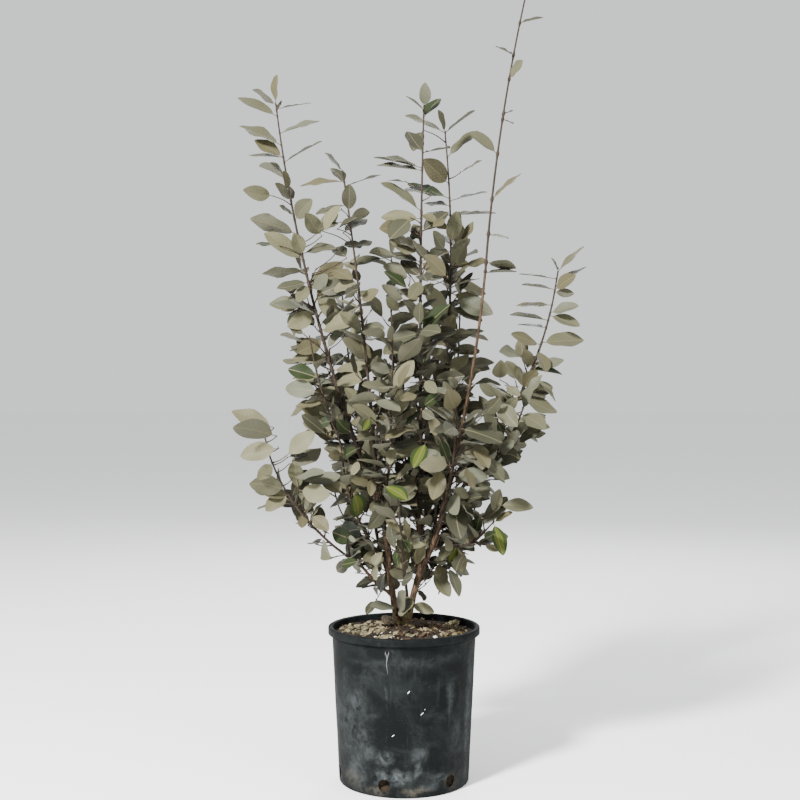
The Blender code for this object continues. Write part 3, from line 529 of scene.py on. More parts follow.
        (505, 385, 520, 395, 10, "sage"), (505, 412, 517, 398, 12, "sage"),
        (497, 402, 517, 426, 18, "sage"), (507, 432, 525, 422, 10, "silver"),
        (525, 414, 544, 428, 14, "sage"), (497, 421, 504, 435, 9, "deep"),
        (494, 515, 500, 490, 13, "sage"),
    ),
    "low_front": (
        (383, 485, 407, 499, 13, "fresh"), (359, 561, 341, 564, 9, "deep"),
        (396, 538, 410, 550, 9, "deep"), (357, 541, 347, 540, 9, "silver"),
        (411, 579, 390, 571, 11, "sage"),
    ),
}
LEADER_SPOTS = 300  # places along a leader where a leaf may start
HOLD_REACH = 9  # pixels within which a leaf starts on the leader itself
BEFORE_LEADER = 0.45  # how far before the leader it starts otherwise, a share of its distance
BEFORE_MOST = 0.035  # and how far at most
FORESHORTENED = 1.25  # how much longer a leaf is than it shows, at most
SHOWN_LENGTH = 0.060  # a leaf that shows shorter than this points to or from the viewer
WIDTH_MOST = 0.49  # widest share of its length that a leaf shows
FULL_WIDTH = 0.475  # share of its length that a flat leaf shows
AWAY_TINTS = ("deep", "shaded")  # leaves of these tints point away
# Where sky shows between and around the leaves, measured in the photo's pixels: across,
# down and the gap's radius
SKY_GAPS = (
    (250, 258, 9), (262, 290, 10), (275, 283, 7), (265, 320, 10), (268, 348, 12), (272, 375, 12),
    (280, 396, 9), (287, 408, 8), (306, 334, 4), (313, 336, 3), (302, 368, 3), (313, 369, 3),
    (323, 370, 3), (308, 387, 3), (287, 276, 4), (293, 276, 4), (315, 264, 4), (311, 275, 4),
    (318, 300, 5), (318, 305, 3), (319, 351, 3), (332, 350, 3), (339, 352, 3), (337, 370, 5),
    (328, 241, 3), (337, 243, 3), (348, 257, 4), (352, 249, 4), (360, 246, 5), (372, 245, 5),
    (382, 242, 4), (350, 234, 5), (362, 234, 5), (374, 233, 4), (371, 269, 7), (379, 272, 4),
    (366, 284, 5), (378, 288, 7), (386, 292, 4), (374, 302, 3), (384, 304, 5), (393, 306, 4),
    (366, 311, 3), (376, 323, 5), (386, 321, 6), (395, 318, 4), (407, 325, 3), (371, 345, 3),
    (379, 347, 4), (386, 353, 4), (388, 359, 3), (366, 376, 3), (374, 374, 3), (391, 380, 2),
    (377, 395, 4), (405, 387, 3), (403, 399, 3), (356, 414, 4), (412, 374, 3), (408, 256, 3),
    (422, 262, 3), (424, 271, 3), (428, 234, 5), (431, 245, 3), (454, 246, 4), (438, 289, 4),
    (448, 295, 4), (439, 306, 2), (423, 326, 3), (462, 324, 5), (470, 320, 4), (476, 326, 3),
    (464, 340, 3), (471, 344, 5), (487, 301, 3), (488, 317, 3), (491, 267, 3), (487, 335, 4),
    (487, 347, 4), (477, 243, 6), (500, 250, 10), (530, 250, 14), (505, 285, 8), (508, 303, 7),
    (505, 330, 9), (500, 343, 6), (497, 357, 4), (504, 354, 3), (520, 363, 3), (487, 375, 5),
    (511, 382, 5), (522, 386, 4), (499, 382, 2), (458, 379, 3), (465, 384, 3), (476, 393, 3),
    (484, 391, 5), (515, 397, 4), (497, 399, 3), (523, 411, 5), (529, 407, 4), (472, 412, 4),
    (544, 378, 3), (549, 381, 5), (574, 371, 7), (568, 405, 9), (562, 420, 6), (565, 445, 9),
    (530, 455, 8), (540, 475, 16), (518, 474, 8), (495, 486, 5), (503, 488, 5), (515, 492, 6),
    (550, 505, 12), (525, 530, 12), (530, 560, 16), (495, 570, 8), (482, 556, 7), (505, 595, 16),
    (470, 556, 4), (488, 523, 4), (491, 530, 4), (480, 588, 7), (460, 603, 6), (429, 585, 4),
    (428, 594, 4), (434, 605, 5), (450, 464, 4), (457, 480, 3), (457, 486, 3), (478, 479, 2),
    (434, 481, 2), (408, 508, 3), (408, 520, 3), (414, 527, 3), (419, 534, 2), (428, 529, 3),
    (409, 557, 4), (399, 585, 4), (407, 589, 4), (386, 597, 3), (406, 455, 4), (402, 464, 3),
    (384, 459, 3), (384, 471, 3), (390, 470, 3), (366, 518, 5), (374, 536, 6), (331, 528, 3),
    (326, 507, 4), (333, 503, 4), (341, 499, 4), (333, 514, 4), (342, 512, 5), (342, 478, 3),
    (311, 482, 3), (317, 485, 3), (323, 457, 6), (326, 466, 4), (331, 470, 4), (315, 446, 4),
    (278, 453, 4), (275, 460, 3), (288, 507, 4), (270, 430, 3), (311, 527, 4), (314, 535, 4),
    (324, 538, 3), (335, 545, 5), (337, 553, 4), (360, 576, 6), (366, 570, 4), (240, 470, 6),
    (250, 500, 8), (262, 525, 10), (283, 520, 7), (285, 545, 14), (310, 565, 16), (330, 590, 16),
    (355, 600, 8), (343, 572, 8),
)
# What shows in front of the leaves, and from which share of its length on
IN_SIGHT = {
    "stem_left": 0.0, "stem_right": 0.0, "bough_right": 0.0, "whip": 0.0, "left_spire": 0.12,
    "right_spire": 0.4, "lower_left_spray": 0.3, "centre_right_spire": 0.6,
}
SIGHT_CELL = 0.0014
SIGHT_CORNER = (-0.26, -0.36)
SIGHT_CELLS = (380, 560)
SIGHT_STEP = 0.001
# Points that stand for a blade: rows, columns and the share of its half width that they cover
SIGHT_TEST = (8, 5, 0.85)
SIGHT_COVER = (14, 9, 0.8)
BLADE_SPAN = (0.06, 0.98)
SKY_DEPTH = 9.0
SKY_MOST = 4  # how many points of a leaf may stand in a gap
WOOD_MOST = 2  # how many may stand before a limb in sight
HIDES_MOST = 14  # how many may stand before a leaf in sight
SHOWN_ARCH = 0.05
# Tried in turn until a shown leaf finds room: millimetres that its tip moves away from the
# viewer, and degrees that its face turns up
SHOWN_TRIES = (
    (0, 0), (-14, 8), (14, -8), (0, 24), (-28, 12), (28, -12), (-42, 20), (42, -20), (0, -24),
    (-20, 40), (20, 40),
)
SHOWN_TWIG_LEAST = 0.006  # a leaf that starts nearer to the wood than this has no twig
SHOWN_TWIG_FALL = 0.4  # how far below the leaf its twig starts, a share of the distance
HOLDER_STEP = 0.004
VIEWER = Vector((0, -1, 0))
MILLIMETRE = 0.001

# How often a spray grown in each light takes each tint. Sunlit, grey green and shaded are
# the common leaf colour painted lighter or darker: painted light, painted half shade and painted shade.
TINTS = ("sunlit", "sage", "silver", "olive", "grey_green", "shaded", "deep", "fresh")
LIGHTS = {
    "sun": (9, 8, 3, 5, 4, 1, 0, 0),
    "open": (4, 7, 3, 6, 6, 4, 0, 0),
    "half": (2, 4, 2, 5, 7, 6, 1, 0),
    "silver": (3, 5, 7, 3, 5, 4, 0, 0),
    "shade": (2, 4, 2, 5, 6, 7, 1, 0),
}
STRAY_TINT = 0.22  # how often a leaf differs from its spray
ODD_LEAF = 0.022  # how often a leaf of the body is deep green
ODD_LIGHTS = ("half", "shade", "open")


def paint(red, green, blue):
    """A colour as a painter's 0 to 255 values, turned into the linear ones of a shader."""
    shares = [value / 255 for value in (red, green, blue)]
    return tuple(s / 12.92 if s <= 0.04045 else ((s + 0.055) / 1.055) ** 2.4 for s in shares)


def colour_property(name, description, values):
    return FloatVectorProperty(
        name=name, description=description, default=paint(*values), subtype="COLOR", min=0, max=1
    )


def length_property(name, description, default):
    return FloatProperty(
        name=name, description=description, default=default, min=0, unit="LENGTH", precision=4
    )


class PotSettings(PropertyGroup):
    """The pot's plastic and its weathering."""

    plastic: colour_property("Plastic", "Colour of the clean plastic", (12, 14, 14))
    worn: colour_property("Worn plastic", "Colour where the wall is rubbed", (23, 26, 26))
    # also the colour of the painted reflection bands near the pot's sides
    chalk_and_reflection: colour_property("Chalk", "Colour of dried water and lime", (72, 76, 77))
    lime: colour_property("Lime", "Colour of the thickest lime", (120, 122, 120))
    mud: colour_property("Mud", "Colour of dried mud near the foot", (66, 63, 56))
    sides: IntProperty(name="Sides", description="Flat sides of the turned pot", default=144, min=24)


class SoilSettings(PropertyGroup):
    """The potting soil and what lies on it."""

    soil: colour_property("Soil", "Colour of the moist soil", (30, 25, 19))
    dry_soil: colour_property("Dry soil", "Colour of its dry crumbs", (62, 53, 41))
    chips: colour_property("Chips", "Colour of the pale wood chips", (107, 99, 75))
    bark_bits: colour_property("Bark bits", "Colour of the bark in the soil", (56, 41, 29))
    moss: colour_property("Moss", "Colour of the moss", (84, 68, 32))
    grit: colour_property("Grit", "Colour of the white grit", (190, 186, 174))
    lump_height: length_property("Lumps", "Height of the soil's lumps", 0.0040)


class WoodSettings(PropertyGroup):
    """The bark of the stems, boughs and twigs."""

    bark: colour_property("Bark", "Colour of the stems' bark", (84, 64, 46))
    furrow: colour_property("Furrows", "Colour of the bark's furrows", (36, 28, 20))
    whip: colour_property("Whip", "Colour of the long bare shoot", (72, 54, 37))
    twig: colour_property("Twigs", "Colour of the young twigs", (46, 37, 28))
    ridge: FloatProperty(
        name="Ridges", description="Depth of the bark's ridges, a share of the radius",
        default=0.10, min=0, max=0.5, subtype="FACTOR",
    )


class FoliageSettings(PropertyGroup):
    """The leaves: their size, their spacing and their tints."""

    leaf_length: length_property("Leaf length", "Length of a leaf with its stalk", 0.080)
    leaf_width: FloatProperty(
        name="Leaf width", description="Width of the blade, a share of its length",
        default=0.54, min=0.1, max=1, subtype="FACTOR",
    )
    stalk: FloatProperty(
        name="Stalk", description="Length of the stalk, a share of the leaf's",
        default=0.12, min=0, max=0.5, subtype="FACTOR",
    )
    gap: length_property("Gap", "Distance from leaf to leaf along a shoot", 0.0115)
    # painted light: the common leaf colour lightened for leaves in full sun
    sunlit: colour_property("Sunlit", "Leaves in full sun", (84, 82, 60))
    sage: colour_property("Sage", "The common grey-green leaves", (68, 67, 48))
    silver: colour_property("Silver", "Leaves with the most silver scales", (73, 74, 59))
    olive: colour_property("Olive", "Leaves with a tan cast", (69, 65, 43))
    # painted half shade: a grey green made darker for leaves in half shade
    grey_green: colour_property("Grey green", "Leaves in half shade", (54, 54, 38))
    # painted shade: the common leaf colour darkened for leaves in shadow inside the crown
    shaded: colour_property("Shaded", "Leaves grown inside the crown", (41, 41, 27))
    deep: colour_property("Deep", "The few deep green leaves", (26, 35, 10))
    fresh: colour_property("Fresh", "Margins of the few variegated leaves", (31, 41, 12))
    blotch: colour_property("Blotch", "Middles of the variegated leaves", (60, 69, 15))
    underside: colour_property("Underside", "The silvery undersides", (70, 69, 53))
    midrib: colour_property("Midrib", "The leaves' midribs", (82, 77, 54))
    petiole: colour_property("Leaf stalks", "The leaves' stalks", (60, 50, 36))


class StageSettings(PropertyGroup):
    """The floor, the light and the camera."""

    floor: colour_property("Floor", "Colour of the floor", (252, 252, 251))
    key: FloatProperty(name="Key", description="Power of the main light", default=640, unit="POWER")
    fill: FloatProperty(name="Fill", description="Power of the fill", default=60, unit="POWER")
    sky: FloatProperty(name="Sky", description="Strength of the even light", default=1.0)
    lens: FloatProperty(
        name="Lens", description="Focal length on a sensor 36 mm wide", default=54.765,
        unit="CAMERA",
    )


class ShrubSettings(PropertyGroup):
    """All the shrub's settings."""

    pot: PointerProperty(type=PotSettings)
    soil: PointerProperty(type=SoilSettings)
    wood: PointerProperty(type=WoodSettings)
    foliage: PointerProperty(type=FoliageSettings)
    stage: PointerProperty(type=StageSettings)


def link_object(name, data):
    thing = bpy.data.objects.new(name, data)
    bpy.context.scene.collection.objects.link(thing)
    return thing


def make_piece(name, points, faces, finishes, replaced=(), uses=None, sharp=None):
    """One finished piece: a mesh with its materials and the nodes it stands for."""
    mesh = bpy.data.meshes.new(name)
    mesh.from_pydata([tuple(point) for point in points], [], faces)
    if mesh.validate():
        raise RuntimeError(f"{name} has faces that Blender refuses")
    for finish in finishes:
        mesh.materials.append(finish)
    if uses is not None:
        mesh.polygons.foreach_set("material_index", np.asarray(uses, np.int32))
    mesh.shade_smooth()
    if sharp is not None:
        mesh.set_sharp_from_angle(angle=sharp)
    thing = link_object(name, mesh)
    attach(thing, BODY)
    if replaced:
        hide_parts(*replaced)
    return thing


class Shape:
    """Points and faces gathered from many small bodies, which become one mesh."""

    def __init__(self):
        self.points = []
        self.faces = []
        self.uses = []
        self.count = 0

    def add(self, points, faces, use=0):
        self.points.extend(points)
        self.faces.extend([tuple(i + self.count for i in face) for face in faces])
        self.uses.extend([use] * len(faces))
        self.count += len(points)

    def piece(self, name, finishes, slot, replaced=(), sharp=None):
        if not self.faces:
            raise RuntimeError(f"{name} came out empty")
        return make_piece(
            name, self.points, self.faces, finishes, replaced, self.uses, sharp
        )


def between(limits, share):
    """The value at a share of the way from the first limit to the second."""
    return limits[0] + (limits[1] - limits[0]) * share


def sides_of(direction):
    """Two unit vectors square to a direction and to each other."""
    guide = RIGHT if abs(direction.x) < NEARLY_RIGHT else UP
    across = (guide - direction * guide.dot(direction)).normalized()
    return across, direction.cross(across)


def at_share(points, share):
    """The point at a share of the path's stretches, and the direction there."""
    place = share * (len(points) - 1)
    index = min(int(place), len(points) - 2)
    step = points[index + 1] - points[index]
    return points[index] + step * (place - index), step.normalized()


def path_length(points):
    return sum((b - a).length for a, b in zip(points, points[1:]))


def bowed_path(foot, tip, bow, step):
    """Points from the foot to the tip along a limb that bows sideways at mid length."""
    count = max(2, round((tip - foot).length / step))
    points = []
    for i in range(count + 1):
        share = i / count
        points.append(foot.lerp(tip, share) + bow * (4 * share * (1 - share)))
    return points


def smooth_path(points, step):
    """Closely spaced points on a smooth curve through the given ones."""
    reach = [(b - a).length for a, b in zip(points, points[1:])]
    slopes = [(points[1] - points[0]) / reach[0]]
    for i in range(1, len(points) - 1):
        slopes.append((points[i + 1] - points[i - 1]) / (reach[i] + reach[i - 1]))
    slopes.append((points[-1] - points[-2]) / reach[-1])
    fine = []
    for i, length in enumerate(reach):
        count = max(1, round(length / step))
        for k in range(count):
            t = k / count
            place = points[i] * ((1 + 2 * t) * (1 - t) ** 2) + points[i + 1] * (t * t * (3 - 2 * t))
            lean = slopes[i] * (t * (1 - t) ** 2) + slopes[i + 1] * (t * t * (t - 1))
            fine.append(place + lean * length)
    fine.append(points[-1])
    return fine


def sweep(path, radii, sides, relief=None):
    """A capped tube along a path: its points and faces. Relief scales each point's radius."""
    centres = np.array([tuple(point) for point in path])
    steps = np.gradient(centres, axis=0)
    steps /= np.linalg.norm(steps, axis=1)[:, None]
    across = np.array(sides_of(Vector(steps[0]))[0])
    angles = np.arange(sides) * tau / sides
    rings = []
    for i, along in enumerate(steps):
        across = across - along * across.dot(along)
        across = across / np.linalg.norm(across)
        square = np.cross(along, across)
        out = np.outer(np.cos(angles), across) + np.outer(np.sin(angles), square)
        size = np.full(sides, radii[i]) if relief is None else radii[i] * relief[i]
        rings.append(centres[i] + out * size[:, None])
    points = np.concatenate(rings)
    faces = []
    for i in range(len(path) - 1):
        for j in range(sides):
            k = (j + 1) % sides
            low = i * sides
            faces.append((low + j, low + k, low + sides + k, low + sides + j))
    last = (len(path) - 1) * sides
    faces.append(tuple(range(sides - 1, -1, -1)))
    faces.append(tuple(range(last, last + sides)))
    return points, faces


def turn_grid(profile, sectors):
    """A closed turned body from a profile that runs from the axis out, down and back in.

    The first and last points are on the axis.
    """
    inner = profile[1:-1]
    points = [(0, 0, profile[0][1])]
    for radius, height in inner:
        for k in range(sectors):
            angle = k * tau / sectors
            points.append((radius * cos(angle), radius * sin(angle), height))
    points.append((0, 0, profile[-1][1]))
    last = len(points) - 1
    faces = []
    for k in range(sectors):
        m = (k + 1) % sectors
        faces.append((0, 1 + k, 1 + m))
        base = 1 + (len(inner) - 1) * sectors
        faces.append((last, base + m, base + k))
        for ring in range(len(inner) - 1):
            a = 1 + ring * sectors
            b = a + sectors
            faces.append((a + k, b + k, b + m, a + m))
    return points, faces


def new_finish(name, roughness, **sockets):
    """A material with a Principled shader, and its node tree and shader."""
    finish = bpy.data.materials.new(name)
    finish.use_nodes = True
    tree = finish.node_tree
    shader = tree.nodes["Principled BSDF"]
    shader.inputs["Roughness"].default_value = roughness
    for socket, value in sockets.items():
        shader.inputs[socket.replace("_", " ")].default_value = value
    return finish, tree, shader


def add_node(tree, kind, inputs, **settings):
    """A node with its settings, whose inputs are values or other nodes' outputs."""
    node = tree.nodes.new(kind)
    for key, value in settings.items():
        setattr(node, key, value)
    for socket, value in inputs.items():
        if isinstance(value, bpy.types.NodeSocket):
            tree.links.new(value, node.inputs[socket])
        else:
            node.inputs[socket].default_value = value
    return node


def place_of(tree):
    """Where a point of the surface is, in the object's own metres."""
    return tree.nodes.new("ShaderNodeTexCoord").outputs["Object"]


def stretched(tree, vector, scale):
    return add_node(
        tree, "ShaderNodeVectorMath", {0: vector, 1: scale}, operation="MULTIPLY"
    ).outputs["Vector"]


def noise_at(tree, vector, scale, detail=4.0, roughness=0.55, distortion=0.0):
    inputs = {
        "Vector": vector, "Scale": scale, "Detail": detail,
        "Roughness": roughness, "Distortion": distortion,
    }
    return add_node(tree, "ShaderNodeTexNoise", inputs).outputs["Fac"]


def cells_at(tree, vector, scale, feature="F1"):
    inputs = {"Vector": vector, "Scale": scale}
    return add_node(tree, "ShaderNodeTexVoronoi", inputs, feature=feature).outputs["Distance"]


def step_over(tree, value, low, high, start=0.0, end=1.0):
    """A soft step that rises from start to end as the value goes from low to high."""
    inputs = {"Value": value, "From Min": low, "From Max": high, "To Min": start, "To Max": end}
    return add_node(
        tree, "ShaderNodeMapRange", inputs, interpolation_type="SMOOTHSTEP"
    ).outputs["Result"]


def maths(tree, operation, first, second=0.0):
    return add_node(tree, "ShaderNodeMath", {0: first, 1: second}, operation=operation).outputs[0]


def mixed(tree, factor, first, second):
    """A blend of two colours."""
    rgb = [c if isinstance(c, bpy.types.NodeSocket) else (*c, 1) for c in (first, second)]
    inputs = {0: factor, 6: rgb[0], 7: rgb[1]}
    return add_node(tree, "ShaderNodeMix", inputs, data_type="RGBA").outputs[2]


def bump(tree, shader, layers):
    """Adds relief to the shader, from layers of height and depth in metres."""
    normal = None
    for height, depth in layers:
        inputs = {"Height": height, "Distance": depth, "Strength": 1.0}
        if normal:
            inputs["Normal"] = normal
        normal = add_node(tree, "ShaderNodeBump", inputs).outputs["Normal"]
    tree.links.new(normal, shader.inputs["Normal"])


def wall_radius(height):
    """Outer radius of the pot's body at a height."""
    top = POT_HEIGHT - LIP_DEPTH
    return FOOT_RADIUS + (BODY_TOP_RADIUS - FOOT_RADIUS) * height / top


def on_wall(angle, height):
    """A place on the pot's wall, at an angle in degrees from the front towards the right."""
    radius = wall_radius(height)
    turn = radians(angle)
    return (radius * sin(turn), -radius * cos(turn), height)


def quarter(centre_radius, centre_height, size, start, steps=4):
    """Points of a quarter round that starts at an angle in degrees and turns clockwise."""
    points = []
    for i in range(steps + 1):
        angle = radians(start - 90 * i / steps)
        points.append((centre_radius + size * cos(angle), centre_height + size * sin(angle)))
    return points


def pot_profile():
    """The section of the pot: up its inside, over the lip, down the outside to the foot."""
    lip_bottom = POT_HEIGHT - LIP_DEPTH
    lip_inside = RIM_RADIUS - WALL
    inner_top = BODY_TOP_RADIUS - WALL
    step_bottom = lip_bottom - STEP_HEIGHT
    round_height = POT_HEIGHT - LIP_ROUNDING
    profile = [(0, BASE_THICKNESS)]
    rings = round(lip_bottom / WALL_RING_GAP)
    for i in range(rings + 1):
        height = between((BASE_THICKNESS, lip_bottom), i / rings)
        profile.append((wall_radius(height) - WALL, height))
    profile += quarter(inner_top + LIP_SPREAD + LIP_ROUNDING, round_height, LIP_ROUNDING, 180)
    profile += quarter(RIM_RADIUS - LIP_ROUNDING, round_height, LIP_ROUNDING, 90)
    profile += quarter(RIM_RADIUS - LIP_EDGE, lip_bottom + LIP_EDGE, LIP_EDGE, 0, 2)
    profile += [
        (lip_inside, lip_bottom),
        (lip_inside, POT_HEIGHT - WALL),
        (BODY_TOP_RADIUS + LIP_SPREAD, POT_HEIGHT - WALL),
        (BODY_TOP_RADIUS + STEP_DEPTH, lip_bottom),
        (BODY_TOP_RADIUS + STEP_DEPTH, step_bottom),
    ]
    top = step_bottom - STEP_SLOPE
    rings = round((top - FOOT_ROUNDING) / WALL_RING_GAP)
    for i in range(rings + 1):
        height = between((top, FOOT_ROUNDING), i / rings)
        profile.append((wall_radius(height), height))
    foot = wall_radius(FOOT_ROUNDING) - FOOT_ROUNDING
    profile += quarter(foot, FOOT_ROUNDING, FOOT_ROUNDING, 0)[1:]
    return profile + [(0, 0)]


def drain_cutter(angle):
    """A round bar through the wall, as a mesh object that cuts a drain hole."""
    shape = bmesh.new()
    outward = Vector((sin(angle), -cos(angle), 0))
    place = Matrix.Translation(outward * wall_radius(HOLE_HEIGHT) + UP * HOLE_HEIGHT)
    turn = outward.to_track_quat("Z", "Y").to_matrix().to_4x4()
    bmesh.ops.create_cone(
        shape, cap_ends=True, segments=HOLE_SIDES, radius1=HOLE_RADIUS, radius2=HOLE_RADIUS,
        depth=HOLE_CUTTER_LENGTH, matrix=place @ turn,
    )
    mesh = bpy.data.meshes.new("drain cutter")
    shape.to_mesh(mesh)
    shape.free()
    return link_object("drain cutter", mesh)


def dented(point):
    """The wall's point, moved in or out a little as the soft plastic has given way."""
    radius = point.xy.length
    if radius < FOOT_RADIUS * DENT_INNERMOST or point.z > DENT_TOP:
        return point
    fade = DENT_TOP * DENT_FADE
    fade = min(1, (DENT_TOP - point.z) / fade) * min(1, point.z / fade)
    depth = noise.noise(point.normalized() * DENT_TURN + Vector((0, 0, point.z * DENT_SCALE)))
    scale = 1 + depth * DENT_DEPTH * fade / radius
    return Vector((point.x * scale, point.y * scale, point.z))


# Marks on the wall, chalk but for the two tall bands near the left and right sides, which are painted
# reflections: angle from the front, height, half width, half height, strength
CHALK_AND_REFLECTION_MARKS = (
    (-42, 0.152, 0.024, 0.024, 0.42),
    (-52, 0.110, 0.040, 0.090, 0.26),
    (-38, 0.094, 0.016, 0.026, 0.40),
    (-30, 0.074, 0.016, 0.020, 0.46),
    (-17, 0.064, 0.018, 0.014, 0.66),
    (-18, 0.032, 0.022, 0.018, 0.80),
    (-4, 0.034, 0.026, 0.014, 0.95),
    (-44, 0.040, 0.030, 0.034, 0.42),
    (12, 0.070, 0.017, 0.017, 0.44),
    (11, 0.046, 0.006, 0.020, 0.70),
    (31, 0.028, 0.024, 0.009, 0.55),
    (20, 0.016, 0.022, 0.010, 0.50),
    (40, 0.164, 0.012, 0.034, 0.34),
    (46, 0.100, 0.016, 0.040, 0.22),
    (-14.5, 0.172, 0.0030, 0.022, 0.30),
    # painted reflections: tall pale bands near the right and left sides, broken up like the chalk
    (66, 0.130, 0.012, 0.160, 0.60),
    (-80, 0.130, 0.016, 0.150, 0.40),
    (0, 0.222, 0.110, 0.010, 0.16),
    (128, 0.110, 0.030, 0.040, 0.34),
    (176, 0.060, 0.050, 0.022, 0.60),
    (-140, 0.150, 0.028, 0.050, 0.36),
)
# A forked run of lime from under the lip
LIME_RUN = (
    (-14.5, 0.2390, 0.0006, 0.0042, 0.7),
    (-13.8, 0.2350, 0.0006, 0.0042, 0.7),
    (-11.9, 0.2390, 0.0006, 0.0042, 0.7),
    (-12.6, 0.2350, 0.0006, 0.0042, 0.7),
    (-13.2, 0.2305, 0.0008, 0.0052, 0.9),
    (-13.6, 0.2250, 0.0007, 0.0052, 0.7),
    (-13.7, 0.2195, 0.0007, 0.0052, 0.6),
    (-13.3, 0.2140, 0.0006, 0.0052, 0.5),
    (-12.9, 0.2080, 0.0006, 0.0056, 0.35),
)
MUD_MARKS = (
    (-50, 0.024, 0.030, 0.020, 0.55),
    (10, 0.013, 0.026, 0.009, 0.95),
    (-24, 0.010, 0.026, 0.010, 0.60),
    (46, 0.020, 0.024, 0.018, 0.40),
    (110, 0.016, 0.060, 0.018, 0.70),
    (-120, 0.018, 0.060, 0.020, 0.75),
    (170, 0.014, 0.060, 0.016, 0.70),
)


def marks_mask(tree, place, marks):
    """Where the marks lie: 1 at the middle of each, fading out to its edge."""
    total = None
    for angle, height, width, tall, strength in marks:
        centre = on_wall(angle, height)
        away = add_node(
            tree, "ShaderNodeVectorMath", {0: place, 1: centre}, operation="SUBTRACT"
        ).outputs["Vector"]
        away = stretched(tree, away, (1 / width, 1 / width, 1 / tall))
        reach = add_node(tree, "ShaderNodeVectorMath", {0: away}, operation="LENGTH")
        mark = step_over(tree, reach.outputs["Value"], 0.10, 1.25, strength, 0.0)
        total = mark if total is None else maths(tree, "MAXIMUM", total, mark)
    return total


def pot_finish(settings):
    """Dark moulded plastic: rubbed, streaked, limed by water and muddy at the foot, with painted
    reflections as pale bands near its left and right sides.
    """
    finish, tree, shader = new_finish("pot plastic", 0.6, Specular_IOR_Level=0.04)
    place = place_of(tree)
    warp = maths(tree, "SUBTRACT", noise_at(tree, place, 34, 5, 0.62), 0.5)
    warped = add_node(
        tree, "ShaderNodeVectorMath", {0: place, 1: stretched(tree, warp, (0.026,) * 3)},
        operation="ADD",
    ).outputs["Vector"]
    cloud = noise_at(tree, place, 22, 6, 0.65, 0.8)
    streaks = noise_at(tree, stretched(tree, place, (130, 130, 9)), 1, 4, 0.6)
    speck = noise_at(tree, place, 420, 3, 0.6)
    base = mixed(tree, step_over(tree, cloud, 0.40, 0.72), settings.plastic, settings.worn)
    haze = noise_at(tree, place, 19, 9, 0.74, 0.5)
    base = mixed(tree, step_over(tree, haze, 0.48, 0.76, 0.0, 0.22), base, settings.chalk_and_reflection)
    rubbed = maths(tree, "MULTIPLY", step_over(tree, streaks, 0.56, 0.84), 0.16)
    base = mixed(tree, rubbed, base, settings.chalk_and_reflection)
    # chalk marks, and the painted reflection bands near the sides among them
    lime = maths(
        tree, "MULTIPLY", marks_mask(tree, warped, CHALK_AND_REFLECTION_MARKS),
        step_over(tree, noise_at(tree, place, 62, 9, 0.76, 0.7), 0.36, 0.62),
    )
    base = mixed(tree, lime, base, settings.chalk_and_reflection)
    base = mixed(tree, marks_mask(tree, place, LIME_RUN), base, settings.lime)
    mud = maths(
        tree, "MULTIPLY", marks_mask(tree, warped, MUD_MARKS),
        step_over(tree, noise_at(tree, place, 120, 5, 0.7), 0.34, 0.62),
    )
    base = mixed(tree, mud, base, settings.mud)
    base = mixed(tree, step_over(tree, speck, 0.66, 0.74, 0.0, 0.35), base, settings.chalk_and_reflection)
    tree.links.new(base, shader.inputs["Base Color"])
    dusty = maths(tree, "MAXIMUM", lime, mud)
    tree.links.new(step_over(tree, dusty, 0.0, 0.7, 0.62, 0.90), shader.inputs["Roughness"])
    bump(tree, shader, [(cloud, 0.0006), (speck, 0.00012), (dusty, 0.0004)])
    return finish


def make_pot(settings):
    """The turned pot with its drain holes cut and its wall a little dented."""
    points, faces = turn_grid(pot_profile()[::-1], settings.sides)
    mesh = bpy.data.meshes.new("pot")
    mesh.from_pydata(points, [], [face[::-1] for face in faces])
    shape = bmesh.new()
    shape.from_mesh(mesh)
    if shape.calc_volume(signed=True) < 0:
        bmesh.ops.reverse_faces(shape, faces=shape.faces)
    shape.to_mesh(mesh)
    shape.free()
    blank = link_object("pot blank", mesh)
    cutters = []
    for i in range(HOLE_COUNT):
        cutter = drain_cutter(FIRST_HOLE_ANGLE + i * tau / HOLE_COUNT)
        away = blank.modifiers.new("Drain", "BOOLEAN")
        away.operation = "DIFFERENCE"
        away.object = cutter
        cutters.append(cutter)
    graph = bpy.context.evaluated_depsgraph_get()
    drained = bpy.data.meshes.new_from_object(blank.evaluated_get(graph))
    for thing in (blank, *cutters):
        bpy.data.objects.remove(thing)
    points = [dented(vertex.co) for vertex in drained.vertices]
    faces = [tuple(polygon.vertices) for polygon in drained.polygons]
    if len(faces) < settings.sides:
        raise RuntimeError("the drain holes took the whole pot away")
    make_piece(
        "nursery_pot", points, faces, [pot_finish(settings)], ["pot"], sharp=radians(35)
    )


# Scabs of lime: angle from the front, height, lean to the right, length
LIME_FLECKS = (
    (3.5, 0.176, 40, 1.0), (14.5, 0.140, 50, 1.1), (-9, 0.104, 52, 0.9), (16.5, 0.147, 24, 0.6),
)
FLECK_SIZE = (0.0007, 0.0003, 0.0031)
FLECK_SPREAD = (0.8, 1.2)
FLECK_ROUGH = 0.25
FLECK_TONES = ((186, 188, 184), (226, 228, 224))


